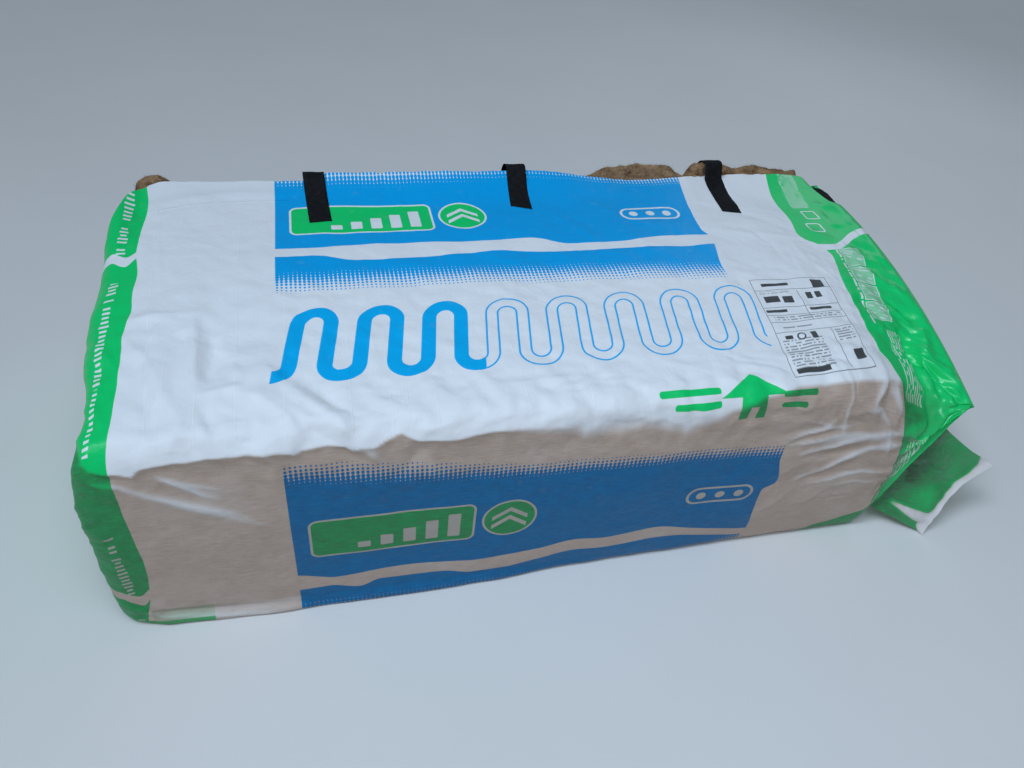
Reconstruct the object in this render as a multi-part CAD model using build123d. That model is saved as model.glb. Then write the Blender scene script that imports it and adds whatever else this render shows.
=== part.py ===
from build123d import *
from dataclasses import dataclass, replace
from math import cos, pi
import os

# A film-wrapped pack of mineral wool slabs lying flat. X runs along the slabs, Y from the front
# of the pack to its back, Z up. The origin is the centre of the stack's base, on the floor.

# Slabs: nominally 1250 x 600 x 50 mm, squeezed in their thickness by the wrap
SLAB_LENGTH = 1250.0
SLAB_WIDTH = 600.0
SLAB_COUNT = 12
SLAB_THICKNESS = 32.6
SLAB_GAP = 0.4
EDGE_BULGE = 9.0
CROWN = 12.0
LOW_RADIUS = 24.0
FRONT_RADIUS = 42.0
BACK_RADIUS = 16.0

# Wrap: one sheet of film round the stack, closed at both ends
FILM = 1.0
FILM_CLEARANCE = 0.3
LEFT_REACH = 32.0
RIGHT_REACH = 108.0
WELD_WIDTH = 12.0
WELD_THICKNESS = 3.0
WELD_ROOT = 15.0

# How the wrap pulls the stack's front edge down, and where the right-hand weld lies
FRONT_DROP = 8.0
LEFT_FRONT_DROP = 20.0
RIGHT_FRONT_DROP = 52.0
LEFT_BACK_DROP = 6.0
RIGHT_BACK_DROP = 3.0
WELD_FRONT_HEIGHT = 302.0
WELD_CROWN = 34.0

# Cut along the wrap's back top edge, and round its left end
SLIT_INSET = 3.0
SLIT_HEIGHT = 70.0
SLIT_PAST_SLABS = 70.0
CORNER_CUT_LENGTH = 62.0
CORNER_CUT_DEPTH = 130.0

# Loose ear of film that stands off the right end of the front face
EAR_THICKNESS = 1.6
EAR_ROOT_X = 32.0
EAR_ROOT_LEAN = 36.0
EAR_ROOT_LOW = 82.0
EAR_ROOT_HIGH = 262.0
EAR_TIP_X = 228.0
EAR_TIP_HEIGHT = 150.0
EAR_FOOT_X = 150.0
EAR_FOOT_OUT = 30.0
EAR_FOOT_HEIGHT = 3.0
EAR_LAP = 14.0

# Wool that swells out of the cut: place as a share of the slab's length, reach out, rise
SWELLING = [(-0.499, 16.0, 9.0), (-0.28, 22.0, 20.0), (0.0, 24.0, 20.0), (0.2, 26.0, 24.0),
            (0.36, 32.0, 34.0), (0.499, 26.0, 28.0)]
SWELLING_LAP = 2.0
SWELLING_FOOT = 4.0

# Tape strips over the cut: place of the back end as a share of the slab's length, how far the
# front end lies from that along X, and length on top. The last one lies on the wrap's back
# corner, against the weld.
TAPE_WIDTH = 38.0
TAPE = 0.8
TAPE_CLEARANCE = 0.3
TAPE_STRIPS = [(-0.254, 7.0, 130.0), (0.053, -19.0, 95.0), (0.384, -8.0, 120.0)]
CORNER_TAPE_SKEW = -15.0
CORNER_TAPE_LENGTH = 90.0
TAPE_BACK_OVERLAP = 60.0

HALF_LENGTH = SLAB_LENGTH / 2
HALF_WIDTH = SLAB_WIDTH / 2
STACK_HEIGHT = SLAB_COUNT * SLAB_THICKNESS + (SLAB_COUNT - 1) * SLAB_GAP
FRONT_HEIGHT = STACK_HEIGHT - FRONT_DROP
LIFT = FILM + FILM_CLEARANCE
WRAP = FILM_CLEARANCE + FILM
SLIT_Y = HALF_WIDTH - SLIT_INSET
SLIT_Z = LIFT + STACK_HEIGHT - SLIT_HEIGHT
FAR = 2 * SLAB_LENGTH


@dataclass
class Station:
    """One cross-section of the wrapped stack, measured at the slabs' own surface."""

    x: float
    front: float = FRONT_HEIGHT
    back: float = STACK_HEIGHT
    crown: float = CROWN
    low_front: float = 0.0
    low_back: float = 0.0
    low_rise: float = 0.0
    inset: float = 0.0


LEFT_END = Station(-HALF_LENGTH, STACK_HEIGHT - LEFT_FRONT_DROP, STACK_HEIGHT - LEFT_BACK_DROP)
RIGHT_END = Station(HALF_LENGTH, STACK_HEIGHT - RIGHT_FRONT_DROP, STACK_HEIGHT - RIGHT_BACK_DROP,
                    1.6 * CROWN)
LEFT_PILLOW = [
    Station(-HALF_LENGTH - LEFT_REACH, 0.78 * STACK_HEIGHT, 0.82 * STACK_HEIGHT, 4, 62, 62, 0, 34),
    Station(-HALF_LENGTH - 0.85 * LEFT_REACH, 0.88 * STACK_HEIGHT, 0.91 * STACK_HEIGHT, 8, 22, 22, 0, 14),
    Station(-HALF_LENGTH - 0.5 * LEFT_REACH, 0.93 * STACK_HEIGHT, 0.96 * STACK_HEIGHT, 10, 5, 5, 0, 4),
    LEFT_END,
]
STACK = [
    LEFT_END,
    Station(-0.84 * HALF_LENGTH),
    Station(0.78 * HALF_LENGTH),
    RIGHT_END,
]
WELD_BACK_HEIGHT = STACK_HEIGHT - 2 - WELD_THICKNESS
RIGHT_TAIL = [
    RIGHT_END,
    Station(HALF_LENGTH + 0.3 * RIGHT_REACH, 0.81 * STACK_HEIGHT, STACK_HEIGHT - 3, 26, 90, 120, 4),
    Station(HALF_LENGTH + 0.62 * RIGHT_REACH, 0.79 * STACK_HEIGHT, STACK_HEIGHT - 4, 31, 236, 300, 20),
    Station(HALF_LENGTH + RIGHT_REACH - WELD_WIDTH, WELD_FRONT_HEIGHT + WELD_ROOT,
            WELD_BACK_HEIGHT + WELD_THICKNESS, WELD_CROWN, WELD_FRONT_HEIGHT,
            WELD_BACK_HEIGHT - WELD_ROOT / 2, WELD_CROWN),
]
WELD_END = Station(HALF_LENGTH + RIGHT_REACH, WELD_FRONT_HEIGHT + WELD_THICKNESS,
                   WELD_BACK_HEIGHT + WELD_THICKNESS, WELD_CROWN, WELD_FRONT_HEIGHT,
                   WELD_BACK_HEIGHT, WELD_CROWN)


def outline(station, grow):
    """The stack's rounded outline at one station, moved outward by grow."""
    half = HALF_WIDTH - station.inset + grow
    low_f, low_b = station.low_front + LIFT - grow, station.low_back + LIFT - grow
    top_f, top_b = station.front + LIFT + grow, station.back + LIFT + grow
    least = min(top_f - low_f, top_b - low_b)
    r_low, r_front, r_back = (min(r, 0.4 * least) for r in (LOW_RADIUS, FRONT_RADIUS, BACK_RADIUS))
    bulge = Vector(0, EDGE_BULGE * least / STACK_HEIGHT, 0)
    turn = 1 - cos(pi / 4)

    def at(y, z):
        return Vector(station.x, y, z)

    base_f, base_b = at(-half + r_low, low_f), at(half - r_low, low_b)
    back_low, back_high = at(half, low_b + r_low), at(half, top_b - r_back)
    top_right, top_left = at(half - r_back, top_b), at(-half + r_front, top_f)
    front_high, front_low = at(-half, top_f - r_front), at(-half, low_f + r_low)
    base_mid = at(0, (low_f + low_b) / 2 + station.low_rise)
    top_mid = at(0, (top_f + top_b) / 2 + station.crown)
    arc = Edge.make_three_point_arc
    base = arc(base_f, base_mid, base_b) if station.low_rise else Edge.make_line(base_f, base_b)
    return Wire([
        base,
        arc(base_b, at(half - r_low * turn, low_b + r_low * turn), back_low),
        arc(back_low, (back_low + back_high) / 2 + bulge, back_high),
        arc(back_high, at(half - r_back * turn, top_b - r_back * turn), top_right),
        arc(top_right, top_mid, top_left),
        arc(top_left, at(-half + r_front * turn, top_f - r_front * turn), front_high),
        arc(front_high, (front_low + front_high) / 2 - bulge, front_low),
        arc(front_low, at(-half + r_low * turn, low_f + r_low * turn), base_f),
    ])


def loft_through(stations, grow):
    return Solid.make_loft([outline(station, grow) for station in stations], ruled=True)


def wrapped_form(grow, end_shift=0.0, weld=True):
    """The whole wrapped form, its ends beyond the slabs pulled in by end_shift."""
    left = [replace(s, x=s.x + end_shift) for s in LEFT_PILLOW[:-1]] + [LEFT_END]
    right = [RIGHT_END] + [replace(s, x=s.x - end_shift) for s in RIGHT_TAIL[1:]]
    if weld:
        right.append(WELD_END)
    return loft_through(left + STACK[1:-1] + right, grow)


def slab_face(station, layer):
    """The line across the stack between two layers, bent with the stack's crown."""
    share = layer / SLAB_COUNT
    reach = HALF_WIDTH + 20.0
    low = station.front + (station.back - station.front) * (1 - reach / HALF_WIDTH) / 2
    high = station.front + station.back - low
    beyond = station.crown * (1 - (reach / HALF_WIDTH) ** 2)
    middle = (station.front + station.back) / 2 + station.crown
    return [Vector(station.x, -reach, LIFT + share * (low + beyond)),
            Vector(station.x, 0, LIFT + share * middle),
            Vector(station.x, reach, LIFT + share * (high + beyond))]


def layer_outline(station, index):
    """The outline between the faces under and over one slab, wider than the stack."""
    under = [p + Vector(0, 0, SLAB_GAP / 2) for p in slab_face(station, index)]
    over = [p - Vector(0, 0, SLAB_GAP / 2) for p in slab_face(station, index + 1)]
    if index == 0:
        under = [Vector(p.X, p.Y, LIFT - 10) for p in under]
    if index == SLAB_COUNT - 1:
        over = [p + Vector(0, 0, STACK_HEIGHT) for p in over]
    bottom = Edge.make_line(under[0], under[2])
    if index:
        bottom = Edge.make_three_point_arc(*under)
    return Wire([bottom, Edge.make_line(under[2], over[2]),
                 Edge.make_three_point_arc(*reversed(over)), Edge.make_line(over[0], under[0])])


def swelling(grow=0.0):
    """The wool that stands out of the cut along the top slab's back edge."""
    foot = LIFT + (SLAB_COUNT - 1) / SLAB_COUNT * STACK_HEIGHT + SWELLING_FOOT - grow
    wires = []
    for share, out, rise in SWELLING:
        x, y = share * SLAB_LENGTH, HALF_WIDTH - SWELLING_LAP - grow
        head = LIFT + STACK_HEIGHT + rise + grow
        outline_yz = [(y, foot), (HALF_WIDTH + 0.75 * out + grow, foot),
                      (HALF_WIDTH + out + grow, foot + 0.55 * (head - foot)),
                      (HALF_WIDTH + 0.6 * out + grow, head), (y, head)]
        wires.append(Wire.make_polygon([Vector(x, *point) for point in outline_yz]))
    return Solid.make_loft(wires, ruled=True)


def make_slabs():
    stack = loft_through(STACK, 0.0)
    slabs = []
    for index in range(SLAB_COUNT):
        layer = Solid.make_loft([layer_outline(s, index) for s in STACK], ruled=True)
        slabs.append(stack & layer)
    slabs[-1] = slabs[-1] + swelling()
    return slabs


def make_ear():
    """A quarter-twisted flap from the front face's right edge down to the floor."""
    def cut(x_low, x_high, z_low, z_high, out):
        y = -HALF_WIDTH - WRAP - out
        low, high = Vector(HALF_LENGTH + x_low, y, z_low), Vector(HALF_LENGTH + x_high, y, z_high)
        if out:
            high = Vector(high.X, y + out, high.Z)
        thick = Vector(0, EAR_THICKNESS, 0)
        return Wire.make_polygon([low, high, high + thick, low + thick])

    root_high = EAR_ROOT_X + EAR_ROOT_LEAN
    middle = 0.55
    return Solid.make_loft([
        cut(EAR_ROOT_X - EAR_LAP, root_high - EAR_LAP, EAR_ROOT_LOW, EAR_ROOT_HIGH, 0),
        cut(EAR_ROOT_X + middle * (EAR_FOOT_X - EAR_ROOT_X), root_high + middle * (EAR_TIP_X - root_high),
            EAR_ROOT_LOW + middle * (EAR_FOOT_HEIGHT - EAR_ROOT_LOW) - 8,
            EAR_ROOT_HIGH + middle * (EAR_TIP_HEIGHT - EAR_ROOT_HIGH), EAR_FOOT_OUT / 3),
        cut(EAR_FOOT_X, EAR_TIP_X, EAR_FOOT_HEIGHT, EAR_TIP_HEIGHT, EAR_FOOT_OUT),
    ], ruled=True)


def make_film():
    shell = wrapped_form(WRAP) - wrapped_form(FILM_CLEARANCE, end_shift=FILM, weld=False)
    slit_length = FAR / 2 + HALF_LENGTH + SLIT_PAST_SLABS
    slit = Box(slit_length, SLAB_WIDTH, STACK_HEIGHT, align=(Align.MAX, Align.MIN, Align.MIN))
    shell -= Pos(HALF_LENGTH + SLIT_PAST_SLABS, SLIT_Y, SLIT_Z) * slit
    end_x = -HALF_LENGTH - LEFT_REACH
    slope = CORNER_CUT_LENGTH / CORNER_CUT_DEPTH
    corner = Polyline((end_x - slope * SLAB_WIDTH, SLIT_Y - CORNER_CUT_DEPTH - SLAB_WIDTH),
                      (end_x + CORNER_CUT_LENGTH + slope * SLAB_WIDTH, SLIT_Y + SLAB_WIDTH),
                      (end_x - slope * SLAB_WIDTH, SLIT_Y + SLAB_WIDTH), close=True)
    shell -= Pos(0, 0, SLIT_Z) * extrude(make_face(corner), STACK_HEIGHT)
    return shell + make_ear()


def make_tapes():
    """Each strip follows the wrap and the swollen wool at one clearance, cut to its own outline.

    Over the tail the cut also meets the wrap's underside, so the upper skin is the one kept.
    """
    under = wrapped_form(WRAP + TAPE_CLEARANCE) + swelling(TAPE_CLEARANCE)
    over = wrapped_form(WRAP + TAPE_CLEARANCE + TAPE) + swelling(TAPE_CLEARANCE + TAPE)
    half = TAPE_WIDTH / 2
    corner_y = HALF_WIDTH - BACK_RADIUS
    places = [(share * SLAB_LENGTH, skew, length, SLIT_Y, SLAB_WIDTH) for share, skew, length in TAPE_STRIPS]
    places.append((HALF_LENGTH + RIGHT_REACH - WELD_WIDTH - half, CORNER_TAPE_SKEW, CORNER_TAPE_LENGTH,
                   corner_y - half, corner_y))
    strips = []
    for back_x, skew, length, bend_y, end_y in places:
        front_x, front_y = back_x + skew, SLIT_Y - length
        plan = Polyline((front_x - half, front_y), (front_x + half, front_y), (back_x + half, bend_y),
                        (back_x + half, end_y), (back_x - half, end_y), (back_x - half, bend_y), close=True)
        cutter = Pos(0, 0, SLIT_Z - TAPE_BACK_OVERLAP) * extrude(make_face(plan), STACK_HEIGHT)
        skins = (over & cutter) - under
        strips.append(skins.solids().sort_by(Axis.Z)[-1])
    return strips


def write(name, solids):
    shape = solids[0] if len(solids) == 1 else Compound(children=solids)
    export_step(shape, f"parts/{name}.step")


os.makedirs("parts", exist_ok=True)
write("wool_slabs", [solid for slab in make_slabs() for solid in slab.solids()])
write("film_wrap", make_film().solids())
for number, strip in enumerate(make_tapes(), 1):
    write(f"tape_strip_{number}", [strip])
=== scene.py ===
from math import cos, pi, radians, sin

import bpy
import numpy as np
from mathutils import Matrix, Vector
from mathutils.bvhtree import BVHTree


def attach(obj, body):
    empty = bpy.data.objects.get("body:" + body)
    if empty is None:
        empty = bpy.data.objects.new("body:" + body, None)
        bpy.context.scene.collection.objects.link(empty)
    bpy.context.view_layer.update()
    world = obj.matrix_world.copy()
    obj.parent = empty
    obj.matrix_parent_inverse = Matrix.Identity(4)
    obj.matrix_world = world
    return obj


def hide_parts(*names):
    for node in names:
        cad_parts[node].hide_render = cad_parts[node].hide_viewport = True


# A pack of mineral wool slabs in printed film, cut open along its back top edge and taped across.
# X runs along the slabs, Y from the front of the pack to its back, Z up. All is in metres, apart from
# tables of millimetres that say so. The film's own coordinates are the place along X and the girth:
# the distance round the pack from the cut, over the top, down the front, under it and up the back.

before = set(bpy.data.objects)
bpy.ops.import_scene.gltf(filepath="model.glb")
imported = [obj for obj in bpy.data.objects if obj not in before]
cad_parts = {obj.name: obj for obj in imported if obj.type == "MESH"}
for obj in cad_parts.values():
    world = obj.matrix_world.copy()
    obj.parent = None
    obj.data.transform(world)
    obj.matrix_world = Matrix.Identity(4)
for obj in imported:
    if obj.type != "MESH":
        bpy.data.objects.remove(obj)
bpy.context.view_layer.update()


def mm(*numbers):
    """Pairs of numbers in millimetres, as an array of points in metres."""
    return np.reshape(numbers, (-1, 2)) / 1000


# The wrapped stack: the film lies a little off it, and the wool is drawn a little smaller than it
SLAB_COUNT = 12
HALF_LENGTH = 0.625
HALF_WIDTH = 0.300
STACK_HEIGHT = 0.3956
WRAP_OFFSET = 0.0026
SIDE_OFFSET = 0.0013
WOOL_GAP = 0.0062
SIDE_BULGE = 0.009
BACK_SLIT_Z = 0.327
FLOOR_GAP = 0.0004

# Cross-sections in millimetres: place along X, heights of the front and back top edges, rise of the
# top between them, heights of the underside at its front and back, its rise, how far the sides stand
# in, and the radii of the front top edge and of the bottom edges
SECTIONS = np.array([
    (-657, 309, 325, 4, 62, 62, 0, 34, 60, 24),
    (-652, 348, 360, 8, 22, 22, 0, 14, 50, 24),
    (-641, 368, 380, 10, 5, 5, 0, 5, 45, 24),
    (-625, 374, 390, 12, 0, 0, 0, 0, 40, 24),
    (-525, 386, 396, 12, 0, 0, 0, 0, 36, 22),
    (300, 388, 396, 12, 0, 0, 0, 0, 42, 22),
    (488, 387, 396, 12, 0, 0, 0, 0, 55, 22),
    (625, 354, 393, 19, 0, 0, 0, 2, 100, 16),
    (657, 331, 393, 26, 90, 120, 0, 4, 90, 6),
    (692, 316, 392, 31, 236, 300, 20, 4, 50, 4),
    (721, 312, 393, 34, 302, 385, 34, 4, 6, 2),
    (733, 304, 392, 34, 303, 390.5, 34, 4, 2, 1),
]) / 1000

# The film's rows round one cross-section, and its columns along X
TOP_ROWS = 120
TOP_CROWDING = 0.38
CREASE_ROWS = 24
FRONT_ROWS = 80
LOW_ROWS = 7
BASE_ROWS = 44
BACK_ROWS = 17
BRIDGE_ROWS = 5
COLUMN_RUNS = [(-0.657, -0.550, 34), (-0.550, 0.420, 178), (0.420, 0.733, 92)]
CAP_COLUMNS = 14
FIN_COLUMNS = 3

# The cut edges, as pairs along X: height of the top sheet's free back edge, and the girth from which
# the film starts at its cut left corner and at the notch on its right
EDGE_Y = 0.311
EDGE_HEIGHTS = mm(-657, 405, -600, 417, -420, 415, -335, 415, -290, 430, -160, 432, 0, 431, 70, 432, 150, 425,
                  240, 413, 320, 408, 430, 412, 520, 415, 620, 414, 700, 405, 733, 396)
EDGE_RUN = 0.096
CORNER_CUT = mm(-657, 124, -650, 98, -641, 70, -630, 44, -618, 26, -603, 15, -580, 1)
CORNER_RISE = 0.034
CORNER_REACH = 0.002
SHOULDER_INSET = 0.024
SHOULDER_GIRTH = (0.530, 0.075)
LEFT_TURN = (0.598, 0.662)
NOTCH = mm(696, 0, 703, 28, 713, 76, 722, 84, 733, 88)

# Left end's weld: its height, half width and place, and the reach of the film across the end
WELD_Z = 0.185
WELD_HALF = 0.235
WELD_X = -0.6625
CAP_REACH = 0.17
FIN_HEIGHT = 0.014

# How far the front's foot stands out over the floor, along X
HEM_OUT = mm(-657, 2, -630, 10, -580, 24, -500, 27, -300, 26, -100, 23, 50, 15, 200, 6, 350, 0)

# Where the top's folded front edge lies, along X and round the girth: film above it stands free and
# looks white, and film below it lies against the wool and looks tan, darkened further by painted shade
FOLD_LINE = mm(-662, 556, -640, 582, -618, 612, -594, 621, -568, 633, -558, 623, -536, 621, -484, 620, -394, 617,
               -377, 620, -368, 628, -361, 620, -324, 618, -304, 621, -295, 629, -282, 621, -264, 624, -241, 612,
               -230, 607, -221, 614, -203, 620, -160, 623, -96, 616, -50, 617, 23, 625, 34, 636, 43, 631, 111, 632,
               130, 625, 163, 636, 186, 640, 197, 648, 215, 636, 258, 621, 292, 609, 322, 602, 370, 593, 461, 592,
               584, 591, 740, 600)
FOLD_CRISPNESS = [(-0.66, 0.3), (-0.60, 1.0), (-0.10, 1.0), (-0.03, 0.5), (0.06, 0.2), (0.22, 0.2), (0.31, 0.8),
                  (0.58, 1.0), (0.62, 0.2)]

# The print: the girth after which the film's pattern repeats, and edges that waver with the film, as
# pairs of girth and place along X, or for the white wave that crosses the bands the other way round
PRINT_REPEAT = 0.695
PRINT_SHIFT = 0.05
LEFT_END = mm(0, -604, 55, -594, 132, -598, 184, -598, 221, -593, 255, -589, 302, -590, 339, -587, 396, -592,
              434, -590, 551, -589, 617, -594, 664, -594, 759, -591, 810, -589, 899, -598, 970, -612, 2000, -600)
RIGHT_END = mm(0, 608, 65, 590, 144, 584, 200, 573, 216, 576, 232, 596, 262, 610, 342, 588, 442, 573, 539, 562,
               580, 567, 596, 586, 615, 600, 637, 617, 719, 630, 820, 635, 890, 633, 932, 579, 970, 520, 1050, 560,
               2000, 600)
BAND_END = mm(0, 408, 110, 387, 180, 380, 204, 387, 232, 383, 310, 365, 350, 363, 690, 386, 733, 386, 762, 393,
              789, 400, 797, 399, 808, 379, 813, 377, 871, 381, 931, 390, 955, 385, 2000, 387)
BAND_START = -0.387
WAVE_TOP = mm(-840, 190, -636, 188, -611, 200, -592, 184, -500, 190, -387, 201, -300, 199, -184, 195, -46, 197,
              44, 193, 112, 212, 206, 213, 288, 201, 383, 199, 500, 210, 578, 222, 597, 233, 630, 231, 687, 201,
              738, 186)
WAVE_LOW = mm(-840, 212, -636, 210, -611, 224, -592, 204, -500, 215, -387, 227, -333, 225, -255, 243, -156, 240,
              -17, 228, 87, 237, 199, 236, 314, 236, 383, 233, 500, 230, 578, 240, 597, 251, 630, 249, 687, 219,
              738, 204)
# The same wave on the front, given by girth: it ends beside the band
FRONT_GIRTH = (0.62, 1.25)
FRONT_WAVE_TOP = np.vstack([WAVE_TOP[:5] + (0, PRINT_REPEAT), mm(-391, 892, -329, 909, -226, 901, -117, 910,
    -4, 903, 57, 892, 118, 899, 200, 889, 274, 905, 386, 930, 470, 938)])
FRONT_WAVE_LOW = np.vstack([WAVE_LOW[:5] + (0, PRINT_REPEAT), mm(-391, 931, -341, 929, -294, 942, -262, 929,
    -160, 932, -114, 944, -58, 942, 0, 933, 62, 922, 125, 927, 208, 920, 246, 922, 370, 948, 430, 952, 470, 930)])
# The bands' dotted edges, as girths along X: where the top band has faded out, and on the front where
# the dots begin, where they close up and where the band has faded out
TOP_DOTS_END = mm(-390, 324, -200, 320, 130, 328, 384, 345)
DOTS_BEGIN = mm(-377, 643, -299, 650, -161, 669, 3, 690, 146, 691, 373, 702)
DOTS_CLOSE = mm(-380, 686, -301, 696, -160, 710, 7, 720, 153, 722, 384, 735)
DOTS_END = mm(-390, 1012, 150, 1012, 300, 1008, 384, 984)
SOFT = 0.0005


def through(points, x, column=1):
    """A smooth curve through a table's points that never overshoots between two of them."""
    table = np.asarray(points, float)
    xs, ys = table[:, 0], table[:, column]
    steep = np.diff(ys) / np.diff(xs)
    slope = np.zeros(len(xs))
    both = steep[:-1] * steep[1:]
    slope[1:-1] = np.where(both > 0, 2 * both / np.where(both > 0, steep[:-1] + steep[1:], 1), 0)
    slope[0], slope[-1] = steep[0], steep[-1]
    x = np.clip(x, xs[0], xs[-1])
    k = np.clip(np.searchsorted(xs, x) - 1, 0, len(xs) - 2)
    run = xs[k + 1] - xs[k]
    t = (x - xs[k]) / run
    return ((2 * t**3 - 3 * t**2 + 1) * ys[k] + (t**3 - 2 * t**2 + t) * run * slope[k]
            + (3 * t**2 - 2 * t**3) * ys[k + 1] + (t**3 - t**2) * run * slope[k + 1])


def ease(value, low, high):
    """0 below low, 1 above high, and a smooth step between."""
    t = np.clip((value - low) / (high - low), 0, 1)
    return t * t * (3 - 2 * t)


def between(value, start, full, fade, end):
    """1 from full to fade, with a smooth fall to 0 at start and at end."""
    return ease(value, start, full) * (1 - ease(value, fade, end))


def bow(start, middle, end, t):
    """Points of the parabola through three points, at the shares t of its run."""
    t = np.asarray(t)[:, None]
    return (1 - t) * (1 - 2 * t) * start + 4 * t * (1 - t) * middle + t * (2 * t - 1) * end


def arc(centre, radius, first_angle, rows):
    """A quarter circle that turns from first_angle, without its first point."""
    turn = np.linspace(first_angle, first_angle + pi / 2, rows + 1)[1:]
    return np.asarray(centre) + radius * np.stack([np.cos(turn), np.sin(turn)], 1)


def noise(x, y, seed):
    """Smooth random relief from -1 to 1, with lumps about 2 units wide."""
    table = np.random.default_rng(seed).uniform(-1, 1, (97, 89))
    x, y = x + 31.7, y + 27.3
    i, j = np.floor(x).astype(int), np.floor(y).astype(int)
    a, b = x - i, y - j
    a, b = a * a * (3 - 2 * a), b * b * (3 - 2 * b)
    low = table[i % 97, j % 89] * (1 - a) + table[(i + 1) % 97, j % 89] * a
    high = table[i % 97, (j + 1) % 89] * (1 - a) + table[(i + 1) % 97, (j + 1) % 89] * a
    return low * (1 - b) + high * b


class Section:
    """The stack's measured form at one place along X."""

    def __init__(self, x):
        self.x = x
        values = [float(through(SECTIONS, x, k)) for k in range(1, SECTIONS.shape[1])]
        (self.front, self.back, self.crown, self.low_front, self.low_back, self.low_rise,
         inset, self.front_radius, self.low_radius) = values
        self.half = HALF_WIDTH - inset

    def top(self, y):
        """Height of the stack's top at depth y."""
        share = (y + self.half) / (2 * self.half)
        return self.front + (self.back - self.front) * share + self.crown * 4 * share * (1 - share)


def top_shares(cut):
    """Shares of the top's depth at which its rows lie, closer together towards the front."""
    even = np.linspace(0, 1, TOP_ROWS)
    return cut + (1 - cut) * (even + TOP_CROWDING * even * (1 - even))


def film_section(section, top_cut, back_share):
    """The film's line round the stack: over the top from the back, down the front, under and up the back."""
    half = section.half + SIDE_OFFSET
    low_front, low_back = max(section.low_front, FLOOR_GAP), max(section.low_back, FLOOR_GAP)
    front, back = section.front + WRAP_OFFSET, section.back + WRAP_OFFSET
    least = min(front - low_front, back - low_back)
    low = min(section.low_radius, 0.4 * least)
    crease = min(section.front_radius, 0.45 * least)
    bulge = SIDE_BULGE * least / STACK_HEIGHT
    point = lambda y, z: np.array([y, z])
    shares = lambda rows: np.linspace(0, 1, rows + 1)[1:]
    top = bow(point(half, back), point(0, (front + back) / 2 + section.crown), point(-half + crease, front),
              top_shares(top_cut))
    bend = arc(point(-half + crease, front - crease), crease, pi / 2, CREASE_ROWS)
    face = bow(point(-half, front - crease), point(-half - bulge, (front - crease + low_front + low) / 2),
               point(-half, low_front + low), shares(FRONT_ROWS))
    foot = arc(point(-half + low, low_front + low), low, pi, LOW_ROWS)
    base = bow(point(-half + low, low_front), point(0, (low_front + low_back) / 2 + section.low_rise),
               point(half - low, low_back), shares(BASE_ROWS))
    heel = arc(point(half - low, low_back + low), low, 1.5 * pi, LOW_ROWS)
    slit = max(min(BACK_SLIT_Z, back - 0.012), low_back + low + 0.001)
    spine = bow(point(half, low_back + low), point(half + bulge, (low_back + low + slit) / 2), point(half, slit),
                shares(BACK_ROWS) * back_share)
    t = np.linspace(0, 1, BRIDGE_ROWS + 2)[1:-1, None]
    bridge = (1 - t)**2 * spine[-1] + 2 * t * (1 - t) * point(half, back) + t**2 * top[0]
    return np.vstack([top, bend, face, foot, base, heel, spine, bridge])


def distance_along(points):
    """Distance of each point from the first, along the line through them."""
    return np.concatenate([[0], np.cumsum(np.linalg.norm(np.diff(points, axis=0), axis=1))])


FULL_GIRTH = distance_along(film_section(Section(0.0), 0.0, 1.0))
TOP_RUN = FULL_GIRTH[TOP_ROWS - 1]
SPINE_LAST = TOP_ROWS + CREASE_ROWS + FRONT_ROWS + 2 * LOW_ROWS + BASE_ROWS + BACK_ROWS - 1
SPINE_FIRST = SPINE_LAST - BACK_ROWS


def distance_to(x, s, points):
    """Distance from each place to a line through points, and the share of the line nearest to it."""
    points = np.asarray(points, float)
    before = distance_along(points)
    before /= before[-1]
    best, share = np.full(x.shape, 9.0), np.zeros(x.shape)
    for start, end, first, last in zip(points[:-1], points[1:], before[:-1], before[1:]):
        run = end - start
        t = np.clip(((x - start[0]) * run[0] + (s - start[1]) * run[1]) / (run @ run), 0, 1)
        away = np.hypot(x - start[0] - t * run[0], s - start[1] - t * run[1])
        nearer = away < best
        best = np.where(nearer, away, best)
        share = np.where(nearer, first + t * (last - first), share)
    return best, share


def crease(x, s, points, width, height):
    """A peaked ridge, or with a negative height a valley, that dies out at both its ends."""
    away, share = distance_to(x, s, points)
    rounding = 0.22 * width
    profile = np.exp(-(np.sqrt(away**2 + rounding**2) - rounding) / width)
    return height * profile * np.sin(pi * np.clip(share * 0.92 + 0.04, 0, 1))**0.6


def crease_family(x, s, seed, count, x_range, s_range, angle, spread, lengths, heights, width):
    """Random creases of one kind, some up and some down. Angles are in degrees from the X axis."""
    rng = np.random.default_rng(seed)
    total = np.zeros(x.shape)
    for _ in range(count):
        middle = np.array([rng.uniform(*x_range), rng.uniform(*s_range)])
        turn = radians(angle + rng.uniform(-spread, spread))
        along = np.array([cos(turn), sin(turn)]) * rng.uniform(*lengths) / 2
        bend = np.array([-along[1], along[0]]) * rng.uniform(-0.25, 0.25)
        height = rng.uniform(*heights) * rng.choice([1, 1, -1])
        total += crease(x, s, [middle - along, middle + bend, middle + along], width * rng.uniform(0.7, 1.4), height)
    return total


def facets(x, s, seed, middle_x, middle_s, reach_x, reach_s, wavelength, height):
    """Crumpled film: flat facets that meet in sharp folds, dying out away from a centre."""
    rng = np.random.default_rng(seed)
    u = x + 0.25 * wavelength * noise(x / wavelength, s / wavelength, seed + 1)
    v = s + 0.25 * wavelength * noise(x / wavelength, s / wavelength, seed + 2)
    total = np.zeros(x.shape)
    size, length = 1.0, wavelength
    for _ in range(5):
        turn = rng.uniform(0, pi)
        phase = (cos(turn) * u + sin(turn) * v) / length + rng.uniform(0, 1)
        total += size * (4 * np.abs(phase - np.floor(phase + 0.5)) - 1)
        size, length = size * 0.72, length * 0.74
    fade = np.exp(-((x - middle_x) / reach_x)**2 - ((s - middle_s) / reach_s)**2)
    return height * fade * total / 2


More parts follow.
